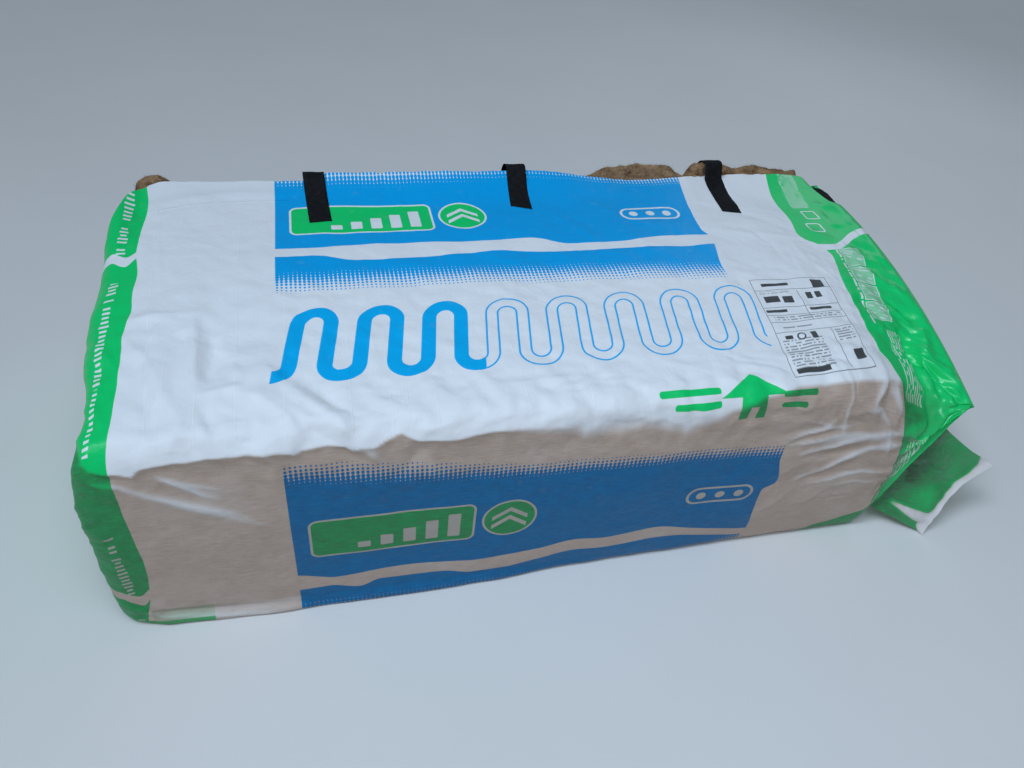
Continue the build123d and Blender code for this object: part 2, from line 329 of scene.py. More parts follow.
# Creases that show in the photograph, in millimetres: half width, height, and then points as pairs
# of place along X and girth from the back edge
CREASES = [
    # The top
    (4.5, 4, -604, 56, -553, 45, -513, 37, -447, 31, -389, 30, -330, 27),
    (7, -2.4, -604, 72, -513, 51, -447, 44, -389, 42, -330, 38),
    (6, 2.2, -560, 362, -502, 379),
    (8, 6.6, -499, 361, -496, 407, -494, 467, -491, 518),
    (6, 3, -491, 510, -485, 548, -476, 600),
    (12, -7, -488, 375, -474, 424, -470, 464, -478, 500),
    (8, 5, -586, 366, -548, 359, -526, 361, -499, 359),
    (14, 7, -592, 405, -561, 440, -545, 480, -526, 527, -499, 575),
    (16, -6, -560, 470, -550, 530, -530, 590),
    (5, 3.4, -554, 410, -546, 378),
    (6, 3, -524, 401, -510, 393, -499, 380),
    (8, 5.2, -490, 520, -462, 517, -428, 512),
    (6, 3.4, -432, 516, -439, 482, -443, 440),
    (8, 4, -436, 514, -415, 494, -390, 450),
    (9, 5.6, -436, 516, -408, 535, -377, 564, -358, 600),
    (14, -6, -470, 545, -430, 565, -405, 605),
    (10, 6.4, -396, 486, -370, 521, -338, 555, -308, 582, -282, 610),
    (7, -4.4, -345, 520, -312, 554, -278, 585),
    (10, -5, -494, 515, -476, 557, -456, 605),
    (9, 4, -532, 572, -512, 593, -496, 612),
    (3, 0.9, -580, 65, -562, 200, -545, 350),
    (3, 0.7, -447, 40, -445, 250, -440, 560),
    (3.5, 1.1, -362, 300, -361, 600),
    (3.5, 0.9, -255, 330, -250, 610),
    (3, 1.4, -190, 470, -188, 640),
    (3, 0.8, 10, 480, 15, 610),
    (3, 0.9, 250, 440, 262, 620),
    (3.5, 1, -100, 545, 20, 540, 170, 548),
    (12, 4.8, -410, 520, -345, 576, -302, 596, -255, 654),
    (14, -6, -380, 560, -330, 605, -285, 650),
    (10, 4, -230, 640, -195, 606, -150, 596),
    (10, -4.5, -250, 590, -215, 622, -200, 650),
    (11, 3.6, -470, 520, -430, 570, -395, 640),
    (10, -3.6, -505, 590, -470, 630, -455, 660),
    (12, 3, -60, 620, 20, 596, 120, 604),
    (14, -3.6, 20, 640, 100, 630, 200, 640),
    (5, 2.2, 205, 585, 215, 615, 240, 625),
    (6, 1.1, 60, 50, 130, 140, 170, 200),
    (6, 2, 380, 170, 460, 200, 600, 215),
    (10, -1.8, 420, 100, 500, 130, 560, 180),
    # The front
    (7.5, 3.2, -600, 636, -556, 676, -510, 704, -450, 726),
    (11, 2, -540, 690, -460, 732, -385, 776),
    (8, 2, -585, 650, -560, 710, -535, 760),
    (5, 3, -545, 638, -537, 644, -516, 661, -490, 684, -466, 694),
    (7, 2.2, -545, 646, -499, 664, -440, 690),
    (14, -2.6, -590, 665, -540, 740, -500, 790),
    (3.5, -4.6, -640, 900, -598, 941, -514, 951, -400, 962, -250, 970),
    (6, 3.6, -640, 915, -590, 953, -500, 964, -400, 974),
    (5, 2.2, -190, 640, -186, 700),
    (4.5, 2.6, 463, 560, 473, 631, 484, 680),
    (3, 2.4, 398, 646, 433, 655, 456, 666),
    (3, 2.2, 446, 664, 462, 646),
    (4.5, 4, 376, 701, 419, 676, 456, 666, 500, 664),
    (4.5, 3.4, 376, 707, 435, 696, 490, 678),
    (5, -3, 385, 702, 430, 686, 470, 674),
    (7, 5.6, 415, 726, 480, 711, 544, 673, 612, 624),
    (8, -4, 440, 730, 500, 722, 570, 680),
    (6, 2.6, 430, 700, 480, 692, 530, 668),
    (8, 5.8, 432, 794, 479, 771, 521, 730, 556, 695, 620, 656),
    (9, -3.6, 450, 800, 506, 764, 560, 722),
    (6.5, 3.6, 455, 812, 506, 794, 561, 758, 628, 744),
    (6, 2.4, 500, 822, 556, 792, 620, 778),
    (5, 4, 541, 590, 528, 602, 520, 616),
    (4.5, 3.6, 505, 624, 540, 618, 574, 626),
    (7, 4, 545, 600, 565, 600, 590, 612),
    (5, -3.4, 530, 612, 550, 609, 570, 616),
    (6, 2.4, 575, 632, 590, 660, 600, 700),
    # The tail at the right
    (8, 11, 712, 425, 694, 480, 673, 540, 676, 592, 690, 640),
    (9, -8.5, 690, 450, 662, 510, 654, 570, 664, 615),
    (6, 6, 668, 555, 690, 532, 722, 515),
    (7, -6, 695, 560, 706, 590, 715, 630),
    (7, -7, 590, 596, 630, 602, 668, 596),
    (7, 7, 612, 628, 650, 616, 684, 622),
    (8, 6.6, 628, 690, 662, 640, 686, 606),
    (7, -6, 640, 720, 668, 676, 690, 640),
    (6, 2.4, 640, 160, 690, 166, 728, 180),
    (8, 4, 665, 330, 700, 370, 728, 372),
    (8, -4.4, 655, 390, 690, 425, 722, 430),
    (7, 3.4, 630, 420, 650, 470, 652, 530),
    (8, 3, 640, 262, 690, 290, 728, 292),
    (6, -2.6, 668, 225, 700, 248, 728, 250),
    # The left end
    (6, -5, -590, 634, -614, 618, -636, 590, -662, 556),
    (6, 4, -588, 646, -604, 640, -622, 622),
    (6, 4, -634, 395, -604, 440, -585, 475),
    (8, -3, -640, 420, -610, 470, -600, 520),
    (7, 3, -645, 500, -620, 520, -598, 560),
]


def fold_line(x):
    """Girth at which the top's folded front edge lies."""
    return np.interp(x, *FOLD_LINE.T) + 0.0012 * noise(x / 0.012, x * 0, 53)


def pressed_and_shaded(x, s, drawn):
    """1 where the film lies against the wool and lets its colour through, 0 where it stands free, as on the
    drawn creases. The same value carries painted shade: the film below the fold, which stands in
    shade, is darkened by it, and a painted shadow darkens a patch of the tail."""
    crisp = through(FOLD_CRISPNESS, x)
    soft = 0.002 + 0.013 * (1 - crisp)
    below = ease((s - fold_line(x)) / soft, -1, 1.6)
    behind = 1 - ease(s, FULL_GIRTH[SPINE_LAST] - 0.03, FULL_GIRTH[SPINE_LAST])
    standing = ease(drawn, 0.0008, 0.0036) * 0.62
    hem = between(s, 0.940, 0.952, 0.985, 1.0) * between(x, -0.60, -0.57, -0.40, -0.375)
    ends = (1 - 0.85 * ease(x, 0.635, 0.665)) * (1 - 0.8 * ease(-x, 0.655, 0.672))
    # Painted shadow: a dark patch among the tail's folds
    shaded = 0.50 * np.exp(-((x - 0.668) / 0.018)**2 - ((s - 0.604) / 0.020)**2)
    return below * (0.25 + 0.75 * behind) * (1 - standing) * (1 - 0.22 * hem) * ends + shaded


def creases_drawn(x, s, table):
    """The relief of a table of creases."""
    total = np.zeros(x.shape)
    for width, height, *line in table:
        total += crease(x, s, mm(*line), width / 1000, height / 1000)
    return total


# Random creases: seed, count, ranges along X and round the girth, angle and its spread in degrees,
# lengths, heights, and half width
CREASE_KINDS = [
    (21, 34, (-0.58, 0.58), (0.05, 0.56), 90, 20, (0.05, 0.22), (0.0004, 0.0010), 0.004),
    (22, 22, (-0.55, 0.50), (0.05, 0.56), 0, 25, (0.05, 0.20), (0.0003, 0.0009), 0.004),
    (23, 56, (-0.58, 0.46), (0.57, 0.67), 90, 42, (0.03, 0.09), (0.0006, 0.0022), 0.007),
    (24, 26, (-0.56, 0.36), (0.68, 0.95), 0, 30, (0.05, 0.20), (0.0003, 0.0008), 0.006),
    (25, 34, (0.40, 0.62), (0.62, 0.86), -25, 30, (0.04, 0.12), (0.0010, 0.0026), 0.006),
    (26, 60, (0.60, 0.72), (0.10, 0.95), 60, 60, (0.03, 0.08), (0.0012, 0.0034), 0.006),
    (27, 34, (-0.66, -0.58), (0.05, 0.98), 50, 60, (0.02, 0.06), (0.0006, 0.0018), 0.005),
    (28, 70, (-0.62, 0.70), (1.55, 1.88), 90, 50, (0.05, 0.20), (0.0010, 0.0034), 0.010),
    (29, 46, (0.61, 0.73), (0.98, 1.88), 0, 40, (0.04, 0.12), (0.0020, 0.0060), 0.008),
]

# Crumpled patches: seed, middle and reach along X and round the girth, wavelength, and height
CRUMPLED = [
    (41, 0.685, 0.56, 0.045, 0.14, 0.054, 0.0082),
    (67, 0.692, 0.595, 0.034, 0.085, 0.034, 0.0042),
    (42, 0.700, 0.30, 0.040, 0.20, 0.070, 0.0026),
    (43, 0.560, 0.63, 0.070, 0.06, 0.060, 0.0028),
    (44, -0.300, 0.61, 0.240, 0.030, 0.075, 0.0030),
    (45, 0.200, 0.63, 0.250, 0.035, 0.070, 0.0024),
    (46, -0.640, 0.68, 0.040, 0.10, 0.050, 0.0024),
    (47, -0.740, 0.80, 0.070, 2.00, 0.070, 0.0050),
    (54, -0.420, 0.47, 0.240, 0.13, 0.095, 0.0036),
    (55, 0.000, 0.45, 9.0, 0.30, 0.080, 0.0016),
    (56, 0.350, 0.58, 0.300, 0.07, 0.060, 0.0032),
    (57, -0.100, 0.56, 0.300, 0.05, 0.050, 0.0026),
]


def film_relief(x, s):
    """How far the film stands off its smooth form."""
    away = np.abs(s - fold_line(x))
    relief = 0.0042 * through(FOLD_CRISPNESS, x) * np.exp(-(np.sqrt(away**2 + 0.0010**2) - 0.0010) / 0.009)
    relief += 0.0020 * noise(x / 0.110, s / 0.090, 11) + 0.0007 * noise(x / 0.040, s / 0.034, 12)
    relief += 0.0014 * noise(x / 0.300, s / 0.050, 13) * ease(s, 0.62, 0.72)
    for kind in CREASE_KINDS:
        relief += crease_family(x, s, *kind)
    for patch in CRUMPLED:
        relief += facets(x, s, *patch)
    pleats = np.abs(np.sin(pi * s / 0.046 + 2.6 * noise(x / 0.07, s / 0.16, 48)))
    above = ease(0.985 - s, 0, 0.03) * (1 - 0.85 * ease(s, 0.57, 0.64))
    relief += above * ease(-x, 0.660, 0.71) * (0.0110 * pleats - 0.005)
    under = between(s, 0.985, 1.02, 1.53, 1.57)
    gathered = np.abs(np.sin(pi * s / 0.062 + 2.2 * noise(x / 0.09, s / 0.13, 58)))
    relief += under * ease(x, 0.635, 0.68) * (0.014 * gathered + 0.006 * noise(x / 0.10, s / 0.12, 59))
    relief += under * ease(-x, 0.662, 0.70) * (0.018 * gathered - 0.006)
    relief += under * facets(x, s, 60, 0.700, 1.27, 0.060, 0.40, 0.090, 0.0100)
    return relief


def held_out(x, relief):
    """Relief that never sinks into the wool below it."""
    wool_below = between(x, -0.645, -0.630, 0.626, 0.645)
    return np.maximum(relief, -WOOL_GAP - 0.05 * (1 - wool_below))


def film_form():
    """The film's smooth form as a grid of points, with the film's own coordinates of each point."""
    runs = [np.linspace(start, end, count, endpoint=False) for start, end, count in COLUMN_RUNS]
    xs = np.concatenate(runs + [[COLUMN_RUNS[-1][1]]])
    ragged = 0.0035 * noise(xs / 0.035, xs * 0, 51) + 0.0022 * noise(xs / 0.011, xs * 0, 52)
    start = np.maximum(through(CORNER_CUT, xs), 0) + np.abs(ragged)
    start = np.maximum(start, through(NOTCH, xs) * (xs > NOTCH[0][0]))
    points, girths = [], []
    for x, cut, wave in zip(xs, start, ragged):
        back_share = 0.985 + 0.02 * wave / 0.0035 if x < NOTCH[0][0] else 1.0
        section = film_section(Section(x), cut / TOP_RUN, back_share)
        girth = FULL_GIRTH.copy()
        girth[:TOP_ROWS] = np.interp(top_shares(cut / TOP_RUN), top_shares(0.0), FULL_GIRTH[:TOP_ROWS])
        lift = np.clip(1 - girth[:TOP_ROWS] / EDGE_RUN, 0, 1)**2 * (1 - ease(x, 0.690, 0.733))
        section[:TOP_ROWS, 0] += lift * (EDGE_Y - section[0, 0])
        section[:TOP_ROWS, 1] += lift * (through(EDGE_HEIGHTS, x) - section[:TOP_ROWS, 1])
        end = ease(-x, *LEFT_TURN)
        corner = end * ease(0.26 - girth, 0, 0.20)
        shoulder = end * np.exp(-((girth - SHOULDER_GIRTH[0]) / SHOULDER_GIRTH[1])**2)
        section[:, 1] += corner * CORNER_RISE
        foot = 0.3 * ease(girth, 0.86, 0.955) + 0.7 * ease(girth, 0.950, 0.985)
        section[:, 0] -= max(float(through(HEM_OUT, x)), 0) * foot * (1 - ease(girth, 1.02, 1.12))
        points.append(np.column_stack([x - CORNER_REACH * corner + SHOULDER_INSET * shoulder, section]))
        girths.append(girth)
    points, girths = np.array(points), np.array(girths)
    along = np.repeat(xs[:, None], points.shape[1], 1)
    return points, along, girths


def left_end(ring, girth):
    """Columns that close the left end: the film's sections shrink to a level weld with a short fin."""
    points, along = [], []
    y = np.clip(ring[:, 1] * 0.92, -WELD_HALF, WELD_HALF)
    upper = np.where(ring[:, 2] > WELD_Z, 1.0, -1.0)
    weld = np.column_stack([np.full(len(ring), WELD_X) - 0.0004 * upper, y, WELD_Z + 0.0004 * upper])
    for column in range(1, CAP_COLUMNS + 1):
        share = column / CAP_COLUMNS
        place = ring * (1 - share) + weld * share
        place[:, 0] = ring[:, 0] + (weld[:, 0] - ring[:, 0]) * sin(pi / 2 * share)
        points.append(place)
        along.append(np.full(len(ring), ring[0, 0] - CAP_REACH * share))
    for column in range(1, FIN_COLUMNS + 1):
        share = column / FIN_COLUMNS
        points.append(weld + np.array([-0.002 * sin(pi * share) - 0.001, 0, -FIN_HEIGHT * share]))
        along.append(np.full(len(ring), ring[0, 0] - CAP_REACH - FIN_HEIGHT * share))
    count = len(points)
    return np.array(points[::-1]), np.array(along[::-1]), np.repeat(girth[None], count, 0)


def outward(points):
    """Unit normals of a grid whose columns run along X and whose rows run round the stack."""
    along = np.gradient(points, axis=0)
    around = np.gradient(points, axis=1)
    normal = np.cross(around, along)
    return normal / np.maximum(np.linalg.norm(normal, axis=2, keepdims=True), 1e-9)


def add_object(name, data):
    """A new object in the scene."""
    thing = bpy.data.objects.new(name, data)
    bpy.context.scene.collection.objects.link(thing)
    return thing


def mesh_piece(name, vertices, faces, uv=None, attributes=None):
    """A smooth-shaded mesh object with its own coordinates and values at each point."""
    mesh = bpy.data.meshes.new(name)
    mesh.from_pydata(np.asarray(vertices).tolist(), [], np.asarray(faces).tolist())
    mesh.polygons.foreach_set("use_smooth", [True] * len(mesh.polygons))
    corners = np.zeros(len(mesh.loops), np.int32)
    mesh.loops.foreach_get("vertex_index", corners)
    if uv is not None:
        mesh.uv_layers.new(name="sheet").data.foreach_set("uv", np.asarray(uv, np.float32)[corners].ravel())
    for key, values in (attributes or {}).items():
        mesh.attributes.new(key, "FLOAT", "POINT").data.foreach_set("value", np.asarray(values, np.float32))
    mesh.update()
    return add_object(name, mesh)


def grid_faces(columns, rows, first=0, closed=False):
    """Quads between the neighbouring points of a grid that is stored column by column. If it is closed
    its last row joins its first."""
    column, row = np.meshgrid(np.arange(columns - 1), np.arange(rows if closed else rows - 1), indexing="ij")
    a = first + column * rows + row
    b = first + column * rows + (row + 1) % rows
    return np.stack([a, b, b + rows, a + rows], -1).reshape(-1, 4)


def spanned(a, b, first, along_b, along_a, far):
    """Points at the shares a and b of the patch between four corners."""
    return (1 - a) * ((1 - b) * first + b * along_b) + a * ((1 - b) * along_a + b * far)


# The loose ear of film at the right end of the front: its corners, and the width of its white hem
EAR_CORNERS = {
    "root_low": (0.634, -0.282, 0.056),
    "root_high": (0.664, -0.280, 0.292),
    "tip": (0.858, -0.306, 0.152),
    "foot": (0.764, -0.336, 0.002),
}
EAR_COLUMNS = 52
EAR_ROWS = 40
# Width of the ear's white hem from its foot to its tip, as shares of the ear's breadth
EAR_HEM = [(0.0, 0.05), (0.06, 0.12), (0.16, 0.11), (0.28, 0.075), (0.45, 0.050), (0.62, 0.06), (0.78, 0.045),
           (0.90, 0.075), (1.0, 0.15)]
# Its creases, like the film's but by height; its breadth and height; and what carries its X and Z
# over to the film's own coordinates. It is all green, off the blue band and off the white wave
EAR_CREASES = [(12, 6, 690, 250, 750, 165, 760, 60), (9, -5, 680, 160, 740, 110, 800, 115),
               (6, 4, 660, 60, 720, 45, 765, 30)]
EAR_SIZE = (0.17, 0.25)
EAR_EDGES = {"end_edge": 0.02, "band_edge": 0.03, "wave_edge": 0.03, "cover": 0.0}
EAR_PRINT_PLACE = np.array([0.16, 0.275])


def ear_grid():
    """The ear as columns from its root to its outer edge, where it is white, and its painted shade, darkest at its
    root.
    """
    low, high, tip, foot = (np.array(EAR_CORNERS[key]) for key in ("root_low", "root_high", "tip", "foot"))
    a = np.linspace(0, 1, EAR_COLUMNS)[:, None, None]
    b = np.linspace(0, 1, EAR_ROWS)[None, :, None]
    points = spanned(a, b, low, high, foot, tip)
    hollow = np.sin(pi * b) * a**2 * np.array([-0.020, 0, 0.014])
    swell = np.sin(pi * a) * b**2 * np.array([-0.004, 0, -0.006])
    droop = np.sin(pi * a) * (1 - b)**2 * np.array([-0.004, 0, 0.004])
    points = points + hollow + swell + droop
    x, z = points[..., 0], points[..., 2]
    relief = 0.0050 * noise(x / 0.08, z / 0.08, 61) + 0.0014 * noise(x / 0.025, z / 0.025, 62)
    relief += facets(x, z, 63, 0.70, 0.16, 0.07, 0.12, 0.060, 0.0060)
    relief += facets(x, z, 68, 0.72, 0.14, 0.09, 0.14, 0.026, 0.0018)
    relief += creases_drawn(x, z, EAR_CREASES)
    points[..., 1] -= relief * ease(a[..., 0], 0.05, 0.35)
    curl = ease(a[..., 0], 0.93, 1)
    points[..., 1] -= 0.006 * curl**2
    a, b = np.broadcast_arrays(a[..., 0], b[..., 0])
    hem_edge = 1 - through(EAR_HEM, b.ravel()).reshape(b.shape) + 0.010 * noise(b * 11, b * 0, 64)
    hem = (a - hem_edge) * EAR_SIZE[0]
    wedge = np.minimum(b - 0.13 + 0.10 * (a - 0.40), 0.145 + 0.15 * (a - 0.40) - b) * EAR_SIZE[1]
    bare = np.maximum(hem, np.minimum(wedge, (a - 0.40) * EAR_SIZE[0]))
    bare = np.clip(0.5 + bare / 0.012, 0, 1)
    # Painted shade: the ear is darker towards its root and its foot, with random patches
    root_shade = 1.35 - 0.55 * ease(a, 0.1, 0.9) - 0.25 * ease(b, 0.5, 1) + 0.30 * noise(x / 0.035, z / 0.05, 66)
    return points, bare, np.clip(root_shade, 0, 1.4) * (1 - bare) + 0.3 * bare


def print_edges(x, s):
    """Distances in metres to the print's wavering edges, positive on the green ends, inside the blue
    band's length and off the white wave, and how far the blue dots cover the film. All stay straight
    between two points, so edges stay sharp."""
    w = (s + PRINT_SHIFT) % PRINT_REPEAT - PRINT_SHIFT
    ends = np.maximum(x - through(RIGHT_END, s), through(LEFT_END, s) - x)
    band = np.minimum(through(BAND_END, s) - x, x - BAND_START)
    wave = np.maximum(through(WAVE_TOP, x) - w, w - through(WAVE_LOW, x))
    front = (s > FRONT_GIRTH[0]) & (s < FRONT_GIRTH[1])
    wave = np.where(front, np.maximum(through(FRONT_WAVE_TOP, x) - s, s - through(FRONT_WAVE_LOW, x)), wave)
    shift = 0.006 * np.sin(2 * pi * x / 0.62 + 0.4)
    cover = np.minimum((w + shift + 0.020) / 0.050, (through(TOP_DOTS_END, x) - w) / 0.066)
    begin, close = through(DOTS_BEGIN, x), through(DOTS_CLOSE, x)
    front_cover = np.minimum((s - begin) / (close - begin) * 0.86, (through(DOTS_END, x) - s) / 0.060)
    cover = np.where(front, front_cover, cover)
    limit = lambda distance: np.clip(distance, -0.03, 0.03)
    return {"end_edge": limit(ends), "band_edge": limit(band), "wave_edge": limit(wave),
            "cover": np.clip(cover, -0.2, 1.2)}


def make_film():
    """The printed film: one sheet round the stack, its closed left end, its tail and its ear."""
    points, along, girth = film_form()
    end_points, end_along, end_girth = left_end(points[0], girth[0])
    points = np.concatenate([end_points, points])
    along = np.concatenate([end_along, along])
    girth = np.concatenate([end_girth, girth])
    drawn = creases_drawn(along, girth, CREASES)
    relief = held_out(along, drawn + film_relief(along, girth))
    relief *= 1 - ease(along, 0.715, 0.733)
    cap = COLUMN_RUNS[0][0] - CAP_REACH
    relief *= ease(along, cap + 0.004, cap + 0.036)
    resting = ease(girth, FULL_GIRTH[SPINE_FIRST] + 0.01, FULL_GIRTH[SPINE_FIRST] + 0.05)
    relief *= 1 - ease(girth, 0.975, 0.985) * (1 - resting) * between(along, -0.69, -0.66, 0.60, 0.64)
    points = points + outward(points) * relief[..., None]
    points[..., 2] = np.maximum(points[..., 2], FLOOR_GAP)

    columns, rows = along.shape
    ends = CAP_COLUMNS + FIN_COLUMNS
    faces = grid_faces(columns, rows)
    column, row = faces[:, 0] // rows, faces[:, 0] % rows
    closed = ends - CAP_COLUMNS // 3
    faces = faces[(row < SPINE_LAST) | (column < closed)]
    closing = np.arange(closed)
    last, first = closing * rows + rows - 1, closing * rows
    faces = np.vstack([faces, np.stack([last, first, first + rows, last + rows], 1)])

    marks = dict(print_edges(along, girth), bare=np.zeros(along.shape), backed_and_shaded=pressed_and_shaded(along, girth, drawn))
    ear, ear_bare, ear_backed_and_shaded = ear_grid()
    ear_marks = dict(EAR_EDGES, bare=ear_bare, backed_and_shaded=ear_backed_and_shaded)
    faces = np.vstack([faces, grid_faces(*ear.shape[:2], first=points.shape[0] * points.shape[1])])
    vertices = np.vstack([points.reshape(-1, 3), ear.reshape(-1, 3)])
    uv = np.vstack([np.stack([along, girth], -1).reshape(-1, 2), EAR_PRINT_PLACE + ear[..., [0, 2]].reshape(-1, 2)])
    used = np.unique(faces)
    remap = np.full(len(vertices), -1)
    remap[used] = np.arange(len(used))
    values = {key: np.append(field, np.broadcast_to(ear_marks[key], ear_bare.shape))[used]
              for key, field in marks.items()}
    return mesh_piece("film", vertices[used], remap[faces], uv[used], values)


# The slabs: their foot over the floor, the split between two, the swelling of their back edges, their
# gap to the film where they show, how many are finely modelled, and the columns and back rows of each
# kind. The top slab's edge swells out of the cut in a bead, with heights of its crest along X
BEAD_HEIGHTS = mm(-625, 398, -618, 408, -609, 414, -598, 419, -584, 420, -572, 412, -556, 396, -345, 392, -280, 400,
                  60, 402, 150, 397, 205, 396, 232, 410, 261, 425, 330, 430, 389, 425, 411, 409, 432, 404, 441, 429,
                  478, 435, 514, 429, 537, 419, 565, 428, 601, 424, 638, 421, 690, 412)
SLAB_FOOT = 0.0016
SLAB_SPLIT = 0.0008
SLAB_SWELL = 0.0035
BACK_GAP = 0.003
FINE_SLABS = 3
TOP_SLAB_GRID, FINE_SLAB_GRID, PLAIN_SLAB_GRID = (320, 20), (320, 9), (40, 3)
BEAD_Y = 0.3265
BEAD_DEPTH = 0.0165
BEAD_OVERHANG = 0.065


def turned(past, radius):
    """How far a rounded edge has turned in at the distance past its start."""
    return radius - np.sqrt(radius**2 - np.clip(past, 0, radius)**2)


def slab_ring(index, x, back_rows):
    """One slab's outline at x, from its front along its underside, up its back and over its top."""
    flat_rows, front_rows = 16, 4
    section = Section(x)
    reach = np.concatenate([np.linspace(0, 1, flat_rows), np.ones(back_rows),
                            np.linspace(1, 0, flat_rows), np.zeros(front_rows)])
    up = np.concatenate([np.zeros(flat_rows), np.linspace(0, 1, back_rows + 2)[1:-1],
                         np.ones(flat_rows), np.linspace(1, 0, front_rows + 2)[1:-1]])
    share = (index + (1 - SLAB_SPLIT * SLAB_COUNT / STACK_HEIGHT) * up) / SLAB_COUNT
    depth = reach * 2 * section.half - section.half
    z = SLAB_FOOT + share * (section.top(depth) - WOOL_GAP - BACK_GAP)
    turn_low = turned(section.low_radius - z, section.low_radius)
    turn_top = turned(z - section.front + section.front_radius, section.front_radius)
    front = -section.half + WOOL_GAP + turn_top + turn_low
    in_cut = index >= SLAB_COUNT - 2
    back = section.half - (BACK_GAP if in_cut else WOOL_GAP) - turn_low
    y = front + (back - front) * reach
    behind = slice(flat_rows, flat_rows + back_rows)
    y[behind] += SLAB_SWELL * (3.2 if in_cut else 1) * np.sin(pi * up[behind])**0.5
    if index == SLAB_COUNT - 1:
        crest = through(BEAD_HEIGHTS, x)
        low = z[flat_rows] + 0.002
        turn = np.linspace(-0.42 * pi, 0.72 * pi, back_rows)
        y[behind] = BEAD_Y + BEAD_DEPTH * np.cos(turn)
        z[behind] = (crest + low) / 2 + (crest - low) / 2 * np.sin(turn)
    return np.column_stack([np.full(len(y), x), y, z])


def slab_shell(index, columns, back_rows):
    """One slab as a closed grid of rings along X that close at both ends."""
    rings = np.array([slab_ring(index, x, back_rows)
                      for x in np.linspace(-HALF_LENGTH + 0.002, HALF_LENGTH - 0.004, columns)])
    if index == SLAB_COUNT - 1:
        beyond = ease(rings[..., 0], 0.545, 0.621) * ease(rings[..., 1], 0.305, 0.316)
        rings[..., 0] += BEAD_OVERHANG * beyond
        rings[..., 2] -= 0.012 * beyond
    ends = []
    for ring in (rings[0], rings[-1]):
        ends.append([ring + (ring.mean(0) - ring) * share for share in (0.06, 0.4, 1.0)])
    return np.concatenate([np.array(ends[0])[::-1], rings, np.array(ends[1])])


def make_wool():
    """Twelve slabs, the uppermost finely modelled where they show in the cut."""
    vertices, faces = np.zeros((0, 3)), np.zeros((0, 4), int)
    for index in range(SLAB_COUNT):
        top = index == SLAB_COUNT - 1
        fine = index >= SLAB_COUNT - FINE_SLABS
        grid = slab_shell(index, *(TOP_SLAB_GRID if top else FINE_SLAB_GRID if fine else PLAIN_SLAB_GRID))
        if fine:
            x, y, z = np.moveaxis(grid, -1, 0)
            wool_tint_and_shade = ease(y, 0.304, 0.314)
            tuft = 0.0046 * noise(x / 0.021, z / 0.012, 70 + index) + 0.0022 * noise(x / 0.008, z / 0.006, 80 + index)
            sag = 0.0030 * noise(x / 0.060, z * 0, 90 + index)
            grid[..., 1] += wool_tint_and_shade * (tuft + sag) * (1.0 if index >= SLAB_COUNT - 2 else 0.3)
            if top:
                lumps = 0.0046 * noise(x / 0.017, y / 0.010, 95) + 0.0016 * noise(x / 0.006, y / 0.006, 96)
                grid[..., 2] += wool_tint_and_shade * 0.55 * lumps
        faces = np.vstack([faces, grid_faces(*grid.shape[:2], first=len(vertices), closed=True)])
        vertices = np.vstack([vertices, grid.reshape(-1, 3)])
    return mesh_piece("wool", vertices, faces)


def make_strand_tuft():
    """Six short curled fibres that leave one point, as flat ribbons."""
    rng = np.random.default_rng(91)
    vertices, faces = [], []
    for _ in range(6):
        turn = rng.uniform(0, 2 * pi)
        lean = rng.uniform(0.85, 1.35)
        length, curl = rng.uniform(0.010, 0.022), rng.uniform(-0.3, 0.7)
        side = np.array([-sin(turn), cos(turn), 0]) * 0.00022
        place, first = np.zeros(3), len(vertices)
        for step in range(4):
            width = side * (1 - step / 3.6)
            vertices += [place - width, place + width]
            tilt = lean + curl * step / 3
            place = place + np.array([sin(tilt) * cos(turn), sin(tilt) * sin(turn), cos(tilt)]) * length / 3
            turn += rng.uniform(-0.5, 0.5)
        faces += [(first + 2 * k, first + 2 * k + 1, first + 2 * k + 3, first + 2 * k + 2) for k in range(3)]
    return mesh_piece("strand_tuft", vertices, faces)


